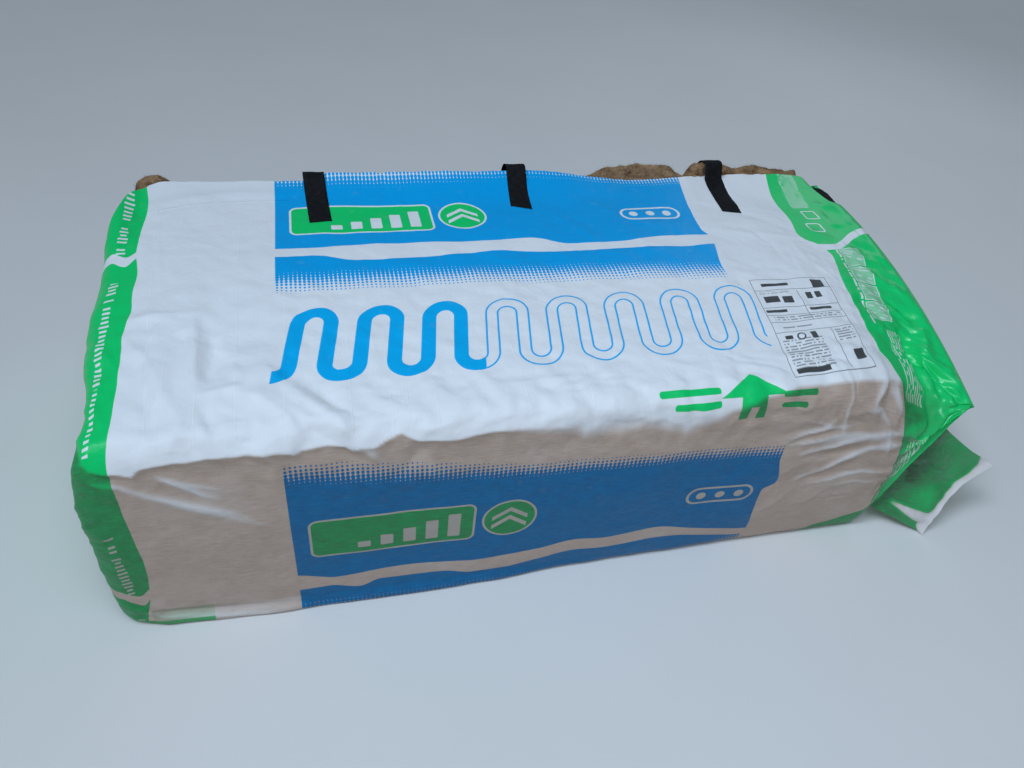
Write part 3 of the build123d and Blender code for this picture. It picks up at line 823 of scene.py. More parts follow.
def tuft_tree(tuft, material):
    """Geometry Nodes: tufts strewn over the part of the wool that stands in the cut."""
    tree = bpy.data.node_groups.new("wool_tufts", "GeometryNodeTree")
    tree.interface.new_socket("Geometry", in_out="OUTPUT", socket_type="NodeSocketGeometry")
    kinds = {"Geometry": "Geometry", "Density": "Float", "Least Y": "Float", "Least Z": "Float",
             "Smallest": "Float", "Largest": "Float", "Seed": "Int"}
    names = {name: tree.interface.new_socket(name, in_out="INPUT", socket_type="NodeSocket" + kind).identifier
             for name, kind in kinds.items()}
    nodes = Nodes(tree)
    entry = nodes.add("NodeGroupInput").node
    given = {name: Field(nodes, entry, name) for name in names}
    _, y, z = nodes.parts(nodes.add("GeometryNodeInputPosition"))
    above = [nodes.add("FunctionNodeCompare", {"operation": "GREATER_THAN"}, {0: part, 1: given[least]})
             for part, least in ((y, "Least Y"), (z, "Least Z"))]
    strewn = nodes.add("GeometryNodeDistributePointsOnFaces",
                       values={"Mesh": given["Geometry"], "Density": given["Density"], "Seed": given["Seed"],
                               "Selection": nodes.add("FunctionNodeBooleanMath", values=dict(enumerate(above)))})
    size = nodes.add("FunctionNodeRandomValue",
                     values={2: given["Smallest"], 3: given["Largest"], "Seed": given["Seed"]}, output=1)
    twist = nodes.add("FunctionNodeRandomValue", values={3: 2 * pi}, output=1)
    turn = nodes.add("FunctionNodeEulerToRotation", values={0: nodes.vector(0.0, 0.0, twist)})
    spin = nodes.add("FunctionNodeRotateRotation", {"rotation_space": "LOCAL"},
                     {0: Field(nodes, strewn.node, "Rotation"), 1: turn})
    shape = nodes.add("GeometryNodeObjectInfo", values={"Object": tuft}, output="Geometry")
    placed = nodes.add("GeometryNodeInstanceOnPoints",
                       values={"Points": strewn, "Instance": shape, "Rotation": spin, "Scale": size})
    realized = nodes.add("GeometryNodeRealizeInstances", values={0: placed})
    painted = nodes.add("GeometryNodeSetMaterial", values={"Geometry": realized, "Material": material})
    nodes.feed(tree.nodes.new("NodeGroupOutput").inputs[0], painted)
    return tree, names


# The part of the wool that bears tufts, how many a square metre has, and how large they are
TUFTS = {"Density": 37000.0, "Least Y": 0.3135, "Least Z": 0.330, "Smallest": 0.25, "Largest": 0.5, "Seed": 5}


def grow_tufts(name, wool, material, **settings):
    """The wool's loose fibres as one plain mesh."""
    tuft = make_strand_tuft()
    tree, names = tuft_tree(tuft, material)
    carrier = add_object(name + "_carrier", wool.data)
    modifier = carrier.modifiers.new("tufts", "NODES")
    modifier.node_group = tree
    for key, value in settings.items():
        modifier[names[key]] = value
    bpy.context.view_layer.update()
    grown = bpy.data.meshes.new_from_object(carrier.evaluated_get(bpy.context.evaluated_depsgraph_get()))
    carrier.modifiers.clear()
    bpy.data.objects.remove(carrier)
    bpy.data.objects.remove(tuft)
    return add_object(name, grown)


# Tape strips: X of the back and front ends, depth of the front end, and the slant of its cut
TAPE_WIDTH = 0.038
TAPES = [(-0.3175, -0.3110, 0.183, 0.10), (0.0620, 0.0535, 0.212, -0.35), (0.4800, 0.4720, 0.180, -0.20)]
TAPE_ROWS = 76
TAPE_COLUMNS = 11
TAPE_THICKNESS = 0.00035
TAPE_WEAVE = 0.0016


def surface_height(tree, x, y, fallback):
    """Height of the film at x and y, or the fallback where there is none."""
    hit = tree.ray_cast(Vector((x, y, 0.6)), Vector((0, 0, -1)))[0]
    return hit.z if hit else fallback


def make_tape(number, film_tree, back_x, front_x, front_y, slant):
    """A strip of cloth tape from the top of the pack over the swollen wool and down its back."""
    edge_z = float(through(EDGE_HEIGHTS, back_x))
    over = max(edge_z, float(through(BEAD_HEIGHTS, back_x))) + 0.004
    # Depth and height at each bend: three on the top, then over the cut and down the wool's back
    bends = np.array([(front_y, 0), (EDGE_Y - 0.055, 0), (EDGE_Y - 0.02, 0), (EDGE_Y + 0.004, over),
                      (0.330, over - 0.003), (0.3475, over - 0.030), (0.3455, 0.368), (0.330, 0.325),
                      (0.3125, 0.267)])
    for row in range(3):
        share = (EDGE_Y - bends[row, 0]) / (EDGE_Y - front_y)
        x = back_x + (front_x - back_x) * share
        bends[row, 1] = surface_height(film_tree, x, bends[row, 0], edge_z) + 0.0008
    run = distance_along(bends)
    at = np.linspace(0, run[-1], TAPE_ROWS)
    y, z = through(np.column_stack([run, bends[:, 0]]), at), through(np.column_stack([run, bends[:, 1]]), at)
    across = np.linspace(-0.5, 0.5, TAPE_COLUMNS) * TAPE_WIDTH
    points = np.zeros((TAPE_ROWS, TAPE_COLUMNS, 3))
    share = np.clip((EDGE_Y - y) / (EDGE_Y - front_y), 0, 1)
    points[..., 0] = (back_x + (front_x - back_x) * share)[:, None] + across
    points[..., 1] = y[:, None] + slant * across * np.clip(1 - at / 0.04, 0, 1)[:, None]
    points[..., 2] = z[:, None]
    lengthways = np.repeat(at[:, None], TAPE_COLUMNS, 1)
    sideways = np.repeat(across[None], TAPE_ROWS, 0)
    pucker = 0.0012 * noise(lengthways / 0.020, sideways / 0.016, 100 + number)
    pucker += 0.0010 * np.abs(noise(lengthways / 0.012, sideways / 0.030, 110 + number))
    for point in points.reshape(-1, 3):
        x, y, z = point
        if y < EDGE_Y - 0.004 and z > 0.37:
            lifted = 0.0007 + 0.0022 * float(ease(y, EDGE_Y - 0.045, EDGE_Y - 0.015))
            top = surface_height(film_tree, x, y, z) + lifted
            point[2] = max(top, z) if y > EDGE_Y - 0.03 else top
    normal = outward(points)
    points = points - normal * np.where(normal[..., 2:] > 0, -1, 1) * pucker[..., None] * 0.6
    uv = np.stack([sideways, lengthways], -1).reshape(-1, 2)
    tape = mesh_piece(f"tape_{number}", points.reshape(-1, 3), grid_faces(TAPE_ROWS, TAPE_COLUMNS), uv)
    thicken(tape)
    return tape, run[-1]


def thicken(tape):
    solid = tape.modifiers.new("thickness", "SOLIDIFY")
    solid.thickness, solid.offset = TAPE_THICKNESS, 0.0


# The corner strip: its corners in plan, and its rows and columns
CORNER_TAPE = [(0.668, 0.215), (0.722, 0.190), (0.738, 0.262), (0.700, 0.296)]
CORNER_TAPE_GRID = 16


def make_corner_tape(number):
    """The short strip that bridges the notch in the film's back corner, tucked under its edges."""
    first, second, third, last = np.array(CORNER_TAPE)
    side = np.linspace(0, 1, CORNER_TAPE_GRID)
    a, b = side[:, None, None], side[None, :, None]
    plan = spanned(a, b, first, last, second, third)
    points = np.zeros((CORNER_TAPE_GRID, CORNER_TAPE_GRID, 3))
    points[..., :2] = plan
    for column in points:
        for point in column:
            x, y = point[:2]
            point[2] = Section(min(x, 0.733)).top(y) + 0.0012 - 0.4 * max(0.0, x - 0.728)
    points[..., 2] += 0.0010 * noise(plan[..., 0] / 0.012, plan[..., 1] / 0.012, 121)
    faces = grid_faces(CORNER_TAPE_GRID, CORNER_TAPE_GRID)
    tape = mesh_piece(f"tape_{number}", points.reshape(-1, 3), faces, plan.reshape(-1, 2))
    thicken(tape)
    return tape


def arithmetic(operation, swapped=False):
    """A method that adds a Math node, with its two operands as they come or swapped."""
    return lambda self, other: self.math(operation, *((other, self) if swapped else (self, other)))


class Field:
    """A number or colour that varies over a surface. Arithmetic on it adds nodes to its tree."""

    def __init__(self, nodes, node, output=0):
        self.nodes, self.node, self.socket = nodes, node, node.outputs[output]

    def math(self, operation, *operands):
        return self.nodes.add("ShaderNodeMath", {"operation": operation}, dict(enumerate(operands)))

    __add__, __radd__ = arithmetic("ADD"), arithmetic("ADD", swapped=True)
    __sub__, __rsub__ = arithmetic("SUBTRACT"), arithmetic("SUBTRACT", swapped=True)
    __mul__, __rmul__ = arithmetic("MULTIPLY"), arithmetic("MULTIPLY", swapped=True)
    __truediv__, __mod__, __pow__ = arithmetic("DIVIDE"), arithmetic("FLOORED_MODULO"), arithmetic("POWER")
    low, high = arithmetic("MINIMUM"), arithmetic("MAXIMUM")

    def __abs__(self):
        return self.math("ABSOLUTE", self)

    def __neg__(self):
        return self * -1.0

    def whole(self):
        return self.math("FLOOR", self)

    def limited(self, low=0.0, high=1.0):
        return self.high(low).low(high)

    def mixed(self, other, factor):
        """This field where factor is 0 and the other where it is 1."""
        return self + (other - self) * factor

    def sine(self, wavelength):
        """A sine wave of this field, from -1 to 1."""
        return self.math("SINE", self * (2 * pi / wavelength))

    def step(self, low, high):
        """0 below low, 1 above high, and a smooth step between. With low over high it falls."""
        return self.nodes.add("ShaderNodeMapRange", {"interpolation_type": "SMOOTHSTEP"},
                              {"Value": self, "From Min": low, "From Max": high, "To Min": 0.0, "To Max": 1.0})

    def inside(self, soft=SOFT):
        """1 where this signed distance is negative, with a soft edge."""
        return self.step(soft, -soft)


class Nodes:
    """A node tree, with one method that adds any kind of node."""

    def __init__(self, tree):
        self.tree = tree

    def add(self, kind, settings=None, values=None, output=0):
        node = self.tree.nodes.new(kind)
        for key, value in (settings or {}).items():
            setattr(node, key, value)
        for key, value in (values or {}).items():
            self.feed(node.inputs[key], value)
        return Field(self, node, output)

    def feed(self, socket, value):
        if isinstance(value, Field):
            self.tree.links.new(value.socket, socket)
        else:
            socket.default_value = value

    def parts(self, vector):
        node = self.add("ShaderNodeSeparateXYZ", values={0: vector}).node
        return [Field(self, node, k) for k in range(3)]

    def vector(self, x, y, z=0.0):
        return self.add("ShaderNodeCombineXYZ", values={0: x, 1: y, 2: z})


class Shader(Nodes):
    """A material with one Principled surface, and the nodes that feed it."""

    def __init__(self, name):
        self.material = bpy.data.materials.new(name)
        self.material.use_nodes = True
        super().__init__(self.material.node_tree)
        self.tree.nodes.clear()
        self.surface = self.tree.nodes.new("ShaderNodeBsdfPrincipled")
        output = self.tree.nodes.new("ShaderNodeOutputMaterial")
        self.tree.links.new(self.surface.outputs[0], output.inputs["Surface"])

    def mix(self, factor, first, second):
        """A colour that goes from first to second as factor goes from 0 to 1."""
        colour = lambda c: c if isinstance(c, Field) else (*c, 1.0)
        return self.add("ShaderNodeMix", {"data_type": "RGBA"},
                        {0: factor, 6: colour(first), 7: colour(second)}, output=2)

    def coordinates(self, uv_name=None):
        """The piece's own sheet coordinates, or its Object coordinates, as a vector."""
        if uv_name:
            return self.add("ShaderNodeUVMap", {"uv_map": uv_name})
        return self.add("ShaderNodeTexCoord", output="Object")

    def noise(self, vector, scale, detail=3.0, roughness=0.55):
        return self.add("ShaderNodeTexNoise", {"noise_dimensions": "3D"},
                        {"Vector": vector, "Scale": scale, "Detail": detail, "Roughness": roughness})

    def finish(self, **sockets):
        """Sets the surface's own sockets. height is the relief in metres that its Normal shows."""
        height = sockets.pop("height", None)
        for key, value in sockets.items():
            self.feed(self.surface.inputs[key.replace("_", " ")], value)
        if height is not None:
            bump = self.add("ShaderNodeBump", values={"Strength": 1.0, "Distance": 1.0, "Height": height})
            self.feed(self.surface.inputs["Normal"], bump)
        return self.material


# Colours as linear red, green and blue, and the pitch of the halftone's dots
WHITE_FILM = (0.78, 0.80, 0.83)
# Film against the wool: tan where the wool comes through, darkened further by painted shade
BACKED_SHADED_FILM = (0.475, 0.365, 0.300)
DARK_STREAK, LIGHT_STREAK = (0.25, 0.19, 0.145), (0.62, 0.54, 0.47)
# Painted highlights on the fine folds and on the folded edge's ridge, and painted shade on the strip behind that
# ridge
FOLD_HIGHLIGHT, RIDGE_HIGHLIGHT, STRIP_SHADE = (0.88, 0.90, 0.93), (0.90, 0.92, 0.95), (0.40, 0.45, 0.52)
WORN_FILM = (0.70, 0.73, 0.76)
DIRT = (0.30, 0.27, 0.24)
# White ink, and a copy of it darkened by painted shade
WHITE_INK, SHADED_WHITE_INK = (0.78, 0.80, 0.82), (0.42, 0.38, 0.33)
BLUE_INK = (0.000, 0.350, 0.77)
BRIGHT_BLUE_INK = (0.000, 0.41, 0.82)
GREEN_INK = (0.004, 0.600, 0.150)
BLACK_INK = (0.02, 0.02, 0.022)
# Blue and green inks darkened by painted shade, for the film below the fold and the ear
SHADED_BLUE_INK = (0.010, 0.064, 0.170)
SHADED_GREEN_INK = (0.042, 0.074, 0.044)
DARK_WOOL, LIGHT_WOOL, WOOL_WISPS = (0.095, 0.042, 0.020), (0.36, 0.215, 0.110), (0.52, 0.36, 0.21)
DARK_FIBRE, LIGHT_FIBRE, PALE_STRAND = (0.16, 0.078, 0.038), (0.50, 0.33, 0.18), (0.60, 0.45, 0.28)
TAPE_BLACK, TAPE_WORN, TAPE_SCUFFED = (0.004, 0.004, 0.005), (0.011, 0.011, 0.013), (0.05, 0.05, 0.055)
DARK_FLOOR, PALE_FLOOR = (0.72, 0.71, 0.70), (0.78, 0.77, 0.76)
DOT_PITCH = 0.0068


def box_distance(u, v, centre, half, radius=0.0):
    """Signed distance from an upright rounded box."""
    side = (abs(u - centre[0]) - (half[0] - radius)).high(0.0)
    rise = (abs(v - centre[1]) - (half[1] - radius)).high(0.0)
    if radius:
        return (side * side + rise * rise)**0.5 - radius
    return (abs(u - centre[0]) - half[0]).high(abs(v - centre[1]) - half[1])


def ring_distance(u, v, centre, radius, half_width):
    """Signed distance from a ring, or without a radius from a disc."""
    side, rise = u - centre[0], v - centre[1]
    return abs((side * side + rise * rise)**0.5 - radius) - half_width


def halftone(u, v, cover):
    """Upright dots on a square grid that grow until they cover it."""
    side = (u / DOT_PITCH) % 1.0 - 0.5
    rise = ((v / DOT_PITCH) % 1.0 - 0.5) * 0.8
    away = (side * side + rise * rise)**0.5
    return (away - 0.14 - cover * 0.58).inside(0.06) * cover.step(0.0, 0.02)


def any_of(*masks):
    """The highest of several masks."""
    total = masks[0]
    for mask in masks[1:]:
        total = total.high(mask)
    return total


def boxes(u, v, *places, radius=0.0):
    """Upright boxes, each given in millimetres: its centre's two coordinates and its two half sizes."""
    return any_of(*[box_distance(u, v, *mm(*place), radius).inside() for place in places])


def outlined(u, v, centre, half, radius, half_width):
    """The outline of an upright rounded box."""
    return (abs(box_distance(u, v, centre, half, radius)) - half_width).inside()


def small_print(shader, u, v, line_pitch, dash, fill=0.62):
    """Rows of broken strokes along u, like print too small to read."""
    row, place = v / line_pitch, u / dash
    cell = shader.vector(place.whole(), row.whole())
    chance = shader.add("ShaderNodeTexWhiteNoise", {"noise_dimensions": "2D"}, {"Vector": cell})
    in_row = (abs(row % 1.0 - 0.5) - 0.24).inside(0.06)
    return in_row * chance.step(1.0 - fill - 0.01, 1.0 - fill + 0.01)


def badge_print(u, w):
    """A green panel of rising bars and, at its right, a round sign with plain roofs: green and white."""
    panel = box_distance(u, w, (-0.240, 0.113), (0.122, 0.043), 0.012)
    bars = [(-285 + 34 * step, 137 - 5.25 * step, 9.5, 7 + 5.25 * step) for step in range(5)]
    dial = ring_distance(u, w, (-0.062, 0.112), 0.0, 0.042)
    slope = w - 0.090 - abs(u + 0.062) * 0.75
    near = (abs(u + 0.062) - 0.028).inside()
    roofs = (abs(slope) - 0.0048).inside().high((abs(slope - 0.020) - 0.0048).inside()) * near
    rims = (abs(panel) - 0.0018).inside().high((abs(dial) - 0.0018).inside())
    return panel.inside().high(dial.inside()), any_of(rims, boxes(u, w, *bars, radius=0.002), roofs)


def signs_print(u, w):
    """A plain long sign with three dots in it, at the band's right end."""
    dots = [ring_distance(u, w, (0.266 + 0.034 * step, 0.118), 0.0, 0.0085).inside() for step in range(3)]
    return any_of(outlined(u, w, (0.300, 0.118), (0.058, 0.019), 0.0188, 0.0024), *dots)


def loops_print(u, w):
    """A serpentine like the one that stands for insulation in drawings: broad and solid at its left,
    outlined at its right. It is made of straight runs and half circles."""
    middle, straight, spacing = 0.438, 0.042, 0.0485
    side = u + (w - middle) * 0.16
    folded = abs((side / (2 * spacing)) % 1.0 - 0.5) * (2 * spacing)
    above = (w - middle + straight).low(0.0)
    below = (w - middle - straight).high(0.0)
    beyond = folded - spacing
    upper = abs((folded * folded + above * above)**0.5 - spacing / 2)
    lower = abs((beyond * beyond + below * below)**0.5 - spacing / 2)
    away = upper.mixed(lower, (w - middle).step(-0.0001, 0.0001))
    left = (side + 0.0849).step(0.0005, -0.0005)
    solid = (away - 0.0108).inside() * left * (-0.384 - side).inside()
    outline = (abs(away - 0.0092) - 0.0015).inside() * (1 - left) * (side - 0.376).inside()
    return solid, outline


def house_print(u, w):
    """A small plain green house with strokes at both its sides."""
    body = box_distance(u, w, (0.300, 0.616), (0.022, 0.020))
    roof = (abs(u - 0.300) * 0.62 + 0.566 - w).high(w - 0.600)
    door = box_distance(u, w, (0.300, 0.626), (0.0065, 0.012)).inside()
    strokes = boxes(u, w, (196, 588, 50, 5.2), (208, 608, 38, 5.2), (378, 600, 30, 4), (370, 616, 22, 4),
                    radius=0.004)
    return (body.low(roof).inside() * (1 - door)).high(strokes)


def label_print(shader, u, w):
    """A ruled label: frames, black blocks and rows of small print."""
    u = u + (w - 0.352) * 0.10
    centre, half = (0.472, 0.465), (0.075, 0.114)
    border = outlined(u, w, centre, half, 0.0, 0.0006)
    within = box_distance(u, w, centre, half).inside()
    rules = any_of(*[(abs(w - height) - 0.0006).inside() for height in (0.379, 0.424, 0.444, 0.462, 0.486)])
    upright = (abs(u - 0.478) - 0.0006).inside() * boxes(u, w, (478, 422, 10, 40))
    second = (abs(u - 0.500) - 0.0006).inside() * boxes(u, w, (500, 532, 10, 44))
    fine = small_print(shader, u, w, 0.0062, 0.0032, 0.74) * boxes(
        u, w, (440, 538, 36, 34), (524, 505, 18, 14), (474, 453, 66, 6), (432, 385, 28, 3), (440, 474, 30, 4))
    heavy = boxes(u, w, (524, 368, 12, 11), (422, 403, 14, 8), (452, 406, 10, 8), (498, 396, 6, 8), (516, 396, 6, 8),
                  (440, 366, 26, 3.6), (420, 433, 20, 3.4), (506, 433, 22, 3.4), (464, 499, 5.5, 8.5),
                  (418, 498, 7, 4), (530, 556, 11, 11), (434, 571, 30, 4), radius=0.0015)
    ring = ring_distance(u, w, (0.440, 0.499), 0.0065, 0.0014).inside()
    thin = any_of(border, (rules.high(upright).high(second)) * within, fine * 0.8)
    return any_of(thin * 0.8, heavy, ring) * 0.94


def end_print(shader, u, v, w):
    """White marks on the green ends: broken bars at the left; frames and small print at the right."""
    leaning = v / 0.0094 + u * 22.0
    strip = shader.add("ShaderNodeTexWhiteNoise", {"noise_dimensions": "1D"}, {"W": leaning.whole()})
    bars = (abs(u + 0.621) - (0.0036 + strip * 0.0036)).inside() * (abs(leaning % 1.0 - 0.5) - 0.23).inside(0.05)
    bars = bars * strip.step(0.10, 0.12) * (abs(w - 0.115) - 0.078).inside().high((abs(w - 0.430) - 0.165).inside())
    rows = small_print(shader, w, u, 0.0054, 0.0030, 0.80)
    slant = u + (w - 0.50) * 0.10
    blocks = boxes(u + w * 0.18, w, (652, 50, 20, 48)).high(boxes(slant, w, (636, 555, 23, 48)))
    tilt = u + (w - 0.243) * 0.16
    frames = any_of(*[outlined(tilt, w, (0.658, 0.272 + 0.058 * step), (0.021, 0.026), 0.001, 0.0009)
                      for step in range(4)])
    motifs = small_print(shader, tilt + w * 0.6, w - u * 0.4, 0.0105, 0.0130, 0.42)
    motifs = motifs * boxes(tilt, w, (658, 359, 17, 110)) * 0.8
    sign = outlined(u, w, (0.626, 0.172), (0.015, 0.015), 0.006, 0.0016)
    second = outlined(u, w, (0.640, 0.125), (0.014, 0.014), 0.002, 0.0013)
    strokes = small_print(shader, w, tilt - 0.6265, 0.0085, 0.0042, 0.80) * (abs(tilt - 0.6307) - 0.0042).inside()
    strokes = strokes * (abs(w - 0.370) - 0.120).inside()
    front_rows = small_print(shader, v, u + w * 0.05, 0.0042, 0.0026, 0.80)
    front_rows = front_rows * boxes(u, v, (652, 735, 16, 105)) * 0.55
    return any_of(bars, rows * blocks * 0.8, frames, motifs, sign, second, strokes, front_rows)


# Straight fold lines that cross the top from back to front: place along X, lean, and the girth from
# which each shows
FOLDS_ACROSS = [(-0.583, 0.06, 0.0), (-0.536, 0.01, 0.45), (-0.490, 0.00, 0.45), (-0.445, 0.01, 0.05),
                (-0.366, -0.02, 0.30), (-0.280, -0.02, 0.40), (-0.221, -0.03, 0.45), (-0.204, -0.02, 0.45),
                (-0.159, -0.03, 0.50), (-0.060, 0.02, 0.40), (0.052, -0.01, 0.20), (0.168, 0.01, 0.45),
                (0.467, 0.02, 0.50)]


def fold_lines(u, v):
    """Fine straight folds across the film: 1 on each, fading to nothing beside it."""
    total = None
    for place, lean, start in FOLDS_ACROSS:
        line = abs(u - place - v * lean).step(0.0014, 0.0) * v.step(start - 0.05, start + 0.10)
        total = line if total is None else total + line
    return total * v.step(0.620, 0.596)


def folded_edge(u, v):
    """The fold along the top's back left: masks of its ridge, and of the strip between it and the cut."""
    bow_in = (u + 0.39).low(0.0)
    ahead = v - bow_in * bow_in * 0.55 - 0.047
    stretch = u.step(-0.34, -0.38) * u.step(-0.612, -0.600)
    return abs(ahead).step(0.0020, 0.0002) * stretch, (-ahead).step(0.0, 0.003) * stretch


def film_material():
    shader = Shader("printed_film")
    place = shader.coordinates("sheet")
    u, v, _ = shader.parts(place)
    w = (v + PRINT_SHIFT) % PRINT_REPEAT - PRINT_SHIFT
    backed_and_shaded, bare, end_edge, band_edge, wave_edge, cover = (
        shader.add("ShaderNodeAttribute", {"attribute_name": name}, output="Fac")
        for name in ("backed_and_shaded", "bare", "end_edge", "band_edge", "wave_edge", "cover"))
    along_grain = shader.noise(shader.vector(u * 48, v * 520), 1.0, 3.0)
    across_grain = shader.noise(shader.vector(u * 420, v * 60, 3.0), 1.0, 3.0)
    cloud = shader.noise(place, 8.0, 3.0)
    fine_cloud = shader.noise(place, 42.0, 4.0)

    # Unprinted film: white where it stands free, and tan and streaked where it lies against the wool; the tan is
    # darkened further by painted shade
    wool_tint_and_shade = (backed_and_shaded + (cloud - 0.5) * backed_and_shaded * 0.5).limited()
    streak = ((along_grain - 0.52) * 1.30 + (across_grain - 0.5) * 0.25 + (fine_cloud - 0.5) * 0.60) * backed_and_shaded
    folds = fold_lines(u, v)
    ridge, strip = folded_edge(u, v)
    colour = shader.mix(wool_tint_and_shade, WHITE_FILM, BACKED_SHADED_FILM)
    colour = shader.mix(streak.limited(0.0, 0.8) * 0.8, colour, DARK_STREAK)
    colour = shader.mix((-streak).limited(0.0, 0.6), colour, LIGHT_STREAK)
    # Painted highlights along the fine folds
    colour = shader.mix(folds * 0.30, colour, FOLD_HIGHLIGHT)
    colour = shader.mix(strip * 0.13, colour, STRIP_SHADE)
    # A painted highlight along the folded edge's ridge
    colour = shader.mix(ridge * 0.45, colour, RIDGE_HIGHLIGHT)

    # Print: blue bands with their serpentine, green ends and motifs, white marks, and the black label
    ends = (-end_edge).inside()
    keep = (-wave_edge).inside() * (1 - bare.step(0.35, 0.65))
    blue = halftone(u, w, cover.limited()) * (-band_edge).inside()
    badge_green, badge_white = badge_print(u, w)
    hem = boxes(u, v, (-568, 970.5, 52, 7.5)) * 0.9
    patch = boxes(u, v, (-560, 950, 44, 13)) * 0.26
    green = any_of(ends, badge_green, house_print(u, w), hem, patch)
    plain_end = (abs(v - 1.27) - 0.29).inside() * u.step(0.630, 0.632)
    end_marks = end_print(shader, u, v, w) * ends * (1 - plain_end)
    white = any_of(badge_white, signs_print(u, w), end_marks)
    # The inks fall towards their shaded copies where the film lies against the wool and on the ear: painted shade
    blue_with_shade = shader.mix((1 - backed_and_shaded * 0.76 - streak * 0.35).limited(), SHADED_BLUE_INK, BLUE_INK)
    green_with_shade = shader.mix((1 - backed_and_shaded * 0.66 - streak * 0.45).limited(), SHADED_GREEN_INK, GREEN_INK)
    white_with_shade = shader.mix(backed_and_shaded, WHITE_INK, SHADED_WHITE_INK)
    for mask, ink in ((blue, blue_with_shade), (any_of(*loops_print(u, w)), BRIGHT_BLUE_INK), (green, green_with_shade),
                      (white, white_with_shade), (label_print(shader, u, w), BLACK_INK)):
        colour = shader.mix(mask * keep, colour, ink)

    # Wear and specks of dirt
    colour = shader.mix((fine_cloud - 0.62).high(0.0) * 0.35, colour, WORN_FILM)
    colour = shader.mix(shader.noise(place, 150.0, 2.0).step(0.755, 0.80) * 0.45, colour, DIRT)

    crinkle = abs(shader.noise(place, 24.0, 4.0) - 0.5)
    crumple = abs(shader.noise(place, 11.0, 3.0) - 0.5)
    height = crinkle * -0.0024 + crumple * -0.0042 + fine_cloud * 0.0008 + folds * 0.00025 + ridge * 0.0006
    height = height + along_grain * (0.00010 + backed_and_shaded * 0.00030) + across_grain * 0.00006
    rough = 0.44 + (cloud - 0.5) * 0.20 - any_of(blue, ends) * 0.06 - ends * 0.05 + backed_and_shaded * 0.06
    return shader.finish(Base_Color=colour, Roughness=rough, height=height, IOR=1.45, Specular_IOR_Level=0.22,
                         Coat_Weight=ends * u.step(0.60, 0.66) * 0.4, Coat_Roughness=0.22)


def wool_material():
    shader = Shader("mineral_wool")
    place = shader.coordinates()
    x, y, z = shader.parts(place)
    layered = shader.vector(x, y, z * 3.0)
    lumps = shader.noise(layered, 26.0, 5.0, 0.6)
    fibres = shader.noise(shader.vector(x * 0.35, y, z), 900.0, 3.0)
    wisps = shader.noise(place, 240.0, 4.0, 0.7)
    tan = shader.mix(lumps.step(0.32, 0.70), DARK_WOOL, LIGHT_WOOL)
    colour = shader.mix(wisps.step(0.45, 0.72) * 0.6, tan, WOOL_WISPS)
    height = lumps * 0.006 + wisps * 0.0016 + fibres * 0.0006
    return shader.finish(Base_Color=colour, Roughness=0.95, height=height, Specular_IOR_Level=0.2)


def fibre_material():
    shader = Shader("wool_fibres")
    place = shader.coordinates()
    spread = shader.noise(place, 60.0, 4.0, 0.6)
    strand = shader.noise(place, 700.0, 2.0)
    colour = shader.mix(spread.step(0.35, 0.68), DARK_FIBRE, LIGHT_FIBRE)
    colour = shader.mix(strand.step(0.4, 0.7) * 0.5, colour, PALE_STRAND)
    return shader.finish(Base_Color=colour, Roughness=0.9, Specular_IOR_Level=0.25)


def tape_material():
    shader = Shader("cloth_tape")
    place = shader.coordinates("sheet")
    u, v, _ = shader.parts(place)
    weave = u.sine(TAPE_WEAVE) * v.sine(TAPE_WEAVE)
    wear = shader.noise(place, 90.0, 4.0)
    scuff = shader.noise(shader.vector(u * 40, v * 260), 1.0, 3.0)
    colour = shader.mix(wear.step(0.35, 0.75), TAPE_BLACK, TAPE_WORN)
    colour = shader.mix(scuff.step(0.62, 0.80) * 0.25, colour, TAPE_SCUFFED)
    return shader.finish(Base_Color=colour, Roughness=0.72 + (wear - 0.5) * 0.24,
                         height=weave * 0.00005 + wear * 0.0005, Specular_IOR_Level=0.16)


def floor_material():
    shader = Shader("pale_floor")
    place = shader.coordinates()
    colour = shader.mix(shader.noise(place, 2.0, 3.0), DARK_FLOOR, PALE_FLOOR)
    return shader.finish(Base_Color=colour, Roughness=0.75, height=shader.noise(place, 120.0, 3.0) * 0.0002)


FLOOR_HALF = 40.0


def make_floor():
    corners = [(x * FLOOR_HALF, y * FLOOR_HALF, 0) for x, y in ((-1, -1), (1, -1), (1, 1), (-1, 1))]
    floor = mesh_piece("floor", corners, [(0, 1, 2, 3)])
    floor.data.materials.append(floor_material())


# The photograph's camera, found from the floor's tiles: place, angles in degrees, and lens
CAMERA_PLACE = (-0.3174, -1.0089, 1.1264)
CAMERA_PITCH = 42.365
CAMERA_YAW = 18.15
CAMERA_ROLL = 7.98
SENSOR_WIDTH = 36.0
FOCAL_SHARE = 768.4 / 1024


def make_camera():
    pitch, yaw, roll = (radians(a) for a in (CAMERA_PITCH, CAMERA_YAW, CAMERA_ROLL))
    ahead = Vector((sin(yaw) * cos(pitch), cos(yaw) * cos(pitch), -sin(pitch)))
    level = Vector((cos(yaw), -sin(yaw), 0))
    upward = level.cross(ahead)
    right = cos(roll) * level + sin(roll) * upward
    top = -sin(roll) * level + cos(roll) * upward
    camera = add_object("camera", bpy.data.cameras.new("camera"))
    rows = [(right[k], top[k], -ahead[k], CAMERA_PLACE[k]) for k in range(3)]
    camera.matrix_world = Matrix([*rows, (0, 0, 0, 1)])
    camera.data.sensor_width = SENSOR_WIDTH
    camera.data.lens = FOCAL_SHARE * SENSOR_WIDTH
    bpy.context.scene.camera = camera


def make_lamp(name, kind, strength, colour, direction):
    light = bpy.data.lights.new(name, kind)
    light.energy, light.color = strength, colour
    lamp = add_object(name, light)
    lamp.rotation_euler = Vector(direction).to_track_quat("-Z", "Y").to_euler()
    return lamp


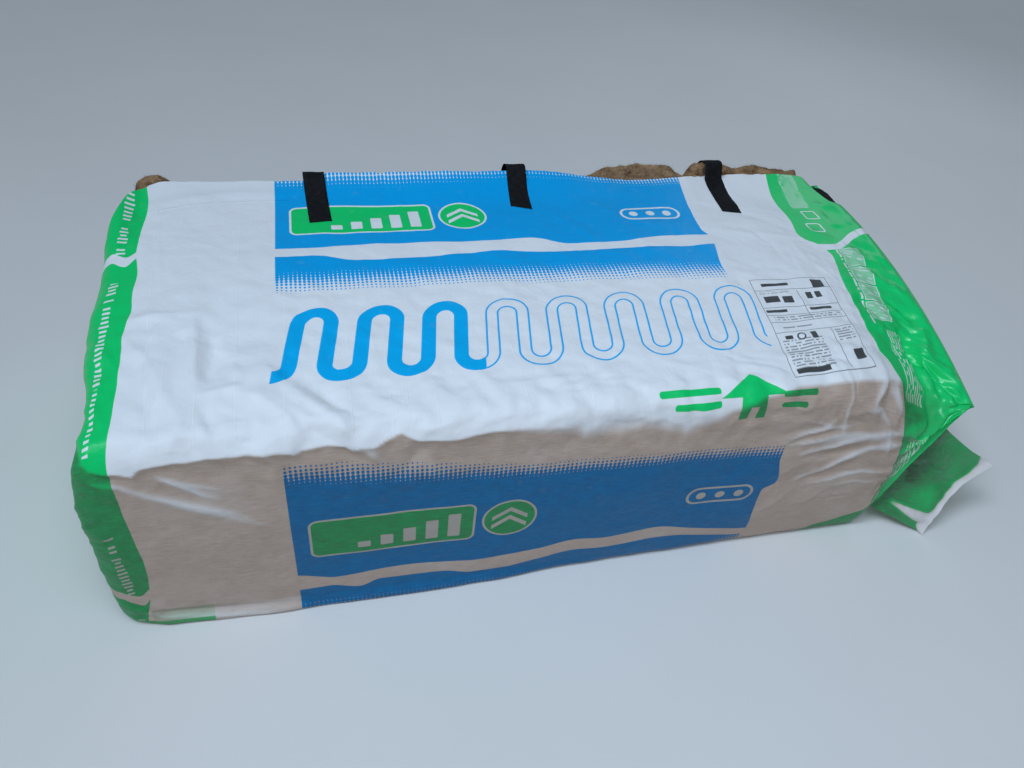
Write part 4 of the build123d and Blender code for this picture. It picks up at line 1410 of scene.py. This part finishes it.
# A skylight high at the front left, a cool window behind, and weak warm light from the room: name,
# place, target, size, watts and colour
PANELS = [
    ("skylight", (-0.3, -1.1, 2.3), (0.0, 0.0, 0.3), (1.2, 1.2), 27, (0.68, 0.83, 1.0)),
    ("window", (2.2, 2.0, 1.7), (0.5, 0.0, 0.35), (1.4, 1.2), 5, (0.75, 0.88, 1.0)),
    ("room", (0.4, -3.0, 1.2), (0.0, 0.0, 0.2), (3.0, 2.0), 6, (1.0, 0.88, 0.76)),
]
# Daylight: strength, colour and direction, and the angle in degrees that its source spans. Then the
# colour and strength of the faint light from all sides
DAYLIGHT = (1.15, (0.70, 0.84, 1.0), (0.62, 0.16, -0.76))
DAYLIGHT_ANGLE = 14
AMBIENT_COLOUR = (0.76, 0.86, 0.96, 1.0)
AMBIENT_STRENGTH = 0.14


def make_lights():
    for name, place, target, size, watts, colour in PANELS:
        lamp = make_lamp(name, "AREA", watts, colour, Vector(target) - Vector(place))
        lamp.location = place
        lamp.data.shape = "RECTANGLE"
        lamp.data.size, lamp.data.size_y = size
    make_lamp("daylight", "SUN", *DAYLIGHT).data.angle = radians(DAYLIGHT_ANGLE)
    world = bpy.data.worlds.new("room_light")
    world.use_nodes = True
    background = world.node_tree.nodes["Background"]
    background.inputs["Color"].default_value = AMBIENT_COLOUR
    background.inputs["Strength"].default_value = AMBIENT_STRENGTH
    bpy.context.scene.world = world
    bpy.context.scene.view_settings.view_transform = "Standard"


def finish_piece(piece, material, slot, *nodes):
    """Gives a piece its material, hangs it from the root body and hides the model's nodes that it stands for. The
    slot is not used.
    """
    if not piece.data.materials:
        piece.data.materials.append(material)
    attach(piece, "root")
    if nodes:
        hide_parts(*nodes)


film = make_film()
finish_piece(film, film_material(), "printed_film", "film_wrap")
wool = make_wool()
finish_piece(wool, wool_material(), "mineral_wool", "wool_slabs")
fibres = fibre_material()
tufts = grow_tufts("wool_tufts", wool, fibres, **TUFTS)
finish_piece(tufts, fibres, "mineral_wool")

film_tree = BVHTree.FromPolygons([v.co for v in film.data.vertices], [p.vertices for p in film.data.polygons])
tape_cloth = tape_material()
for number, strip in enumerate(TAPES, 1):
    tape, tape_length = make_tape(number, film_tree, *strip)
    finish_piece(tape, tape_cloth, "cloth_tape", f"tape_strip_{number}")
corner_tape = make_corner_tape(4)
finish_piece(corner_tape, tape_cloth, "cloth_tape", "tape_strip_4")

make_floor()
make_camera()
make_lights()
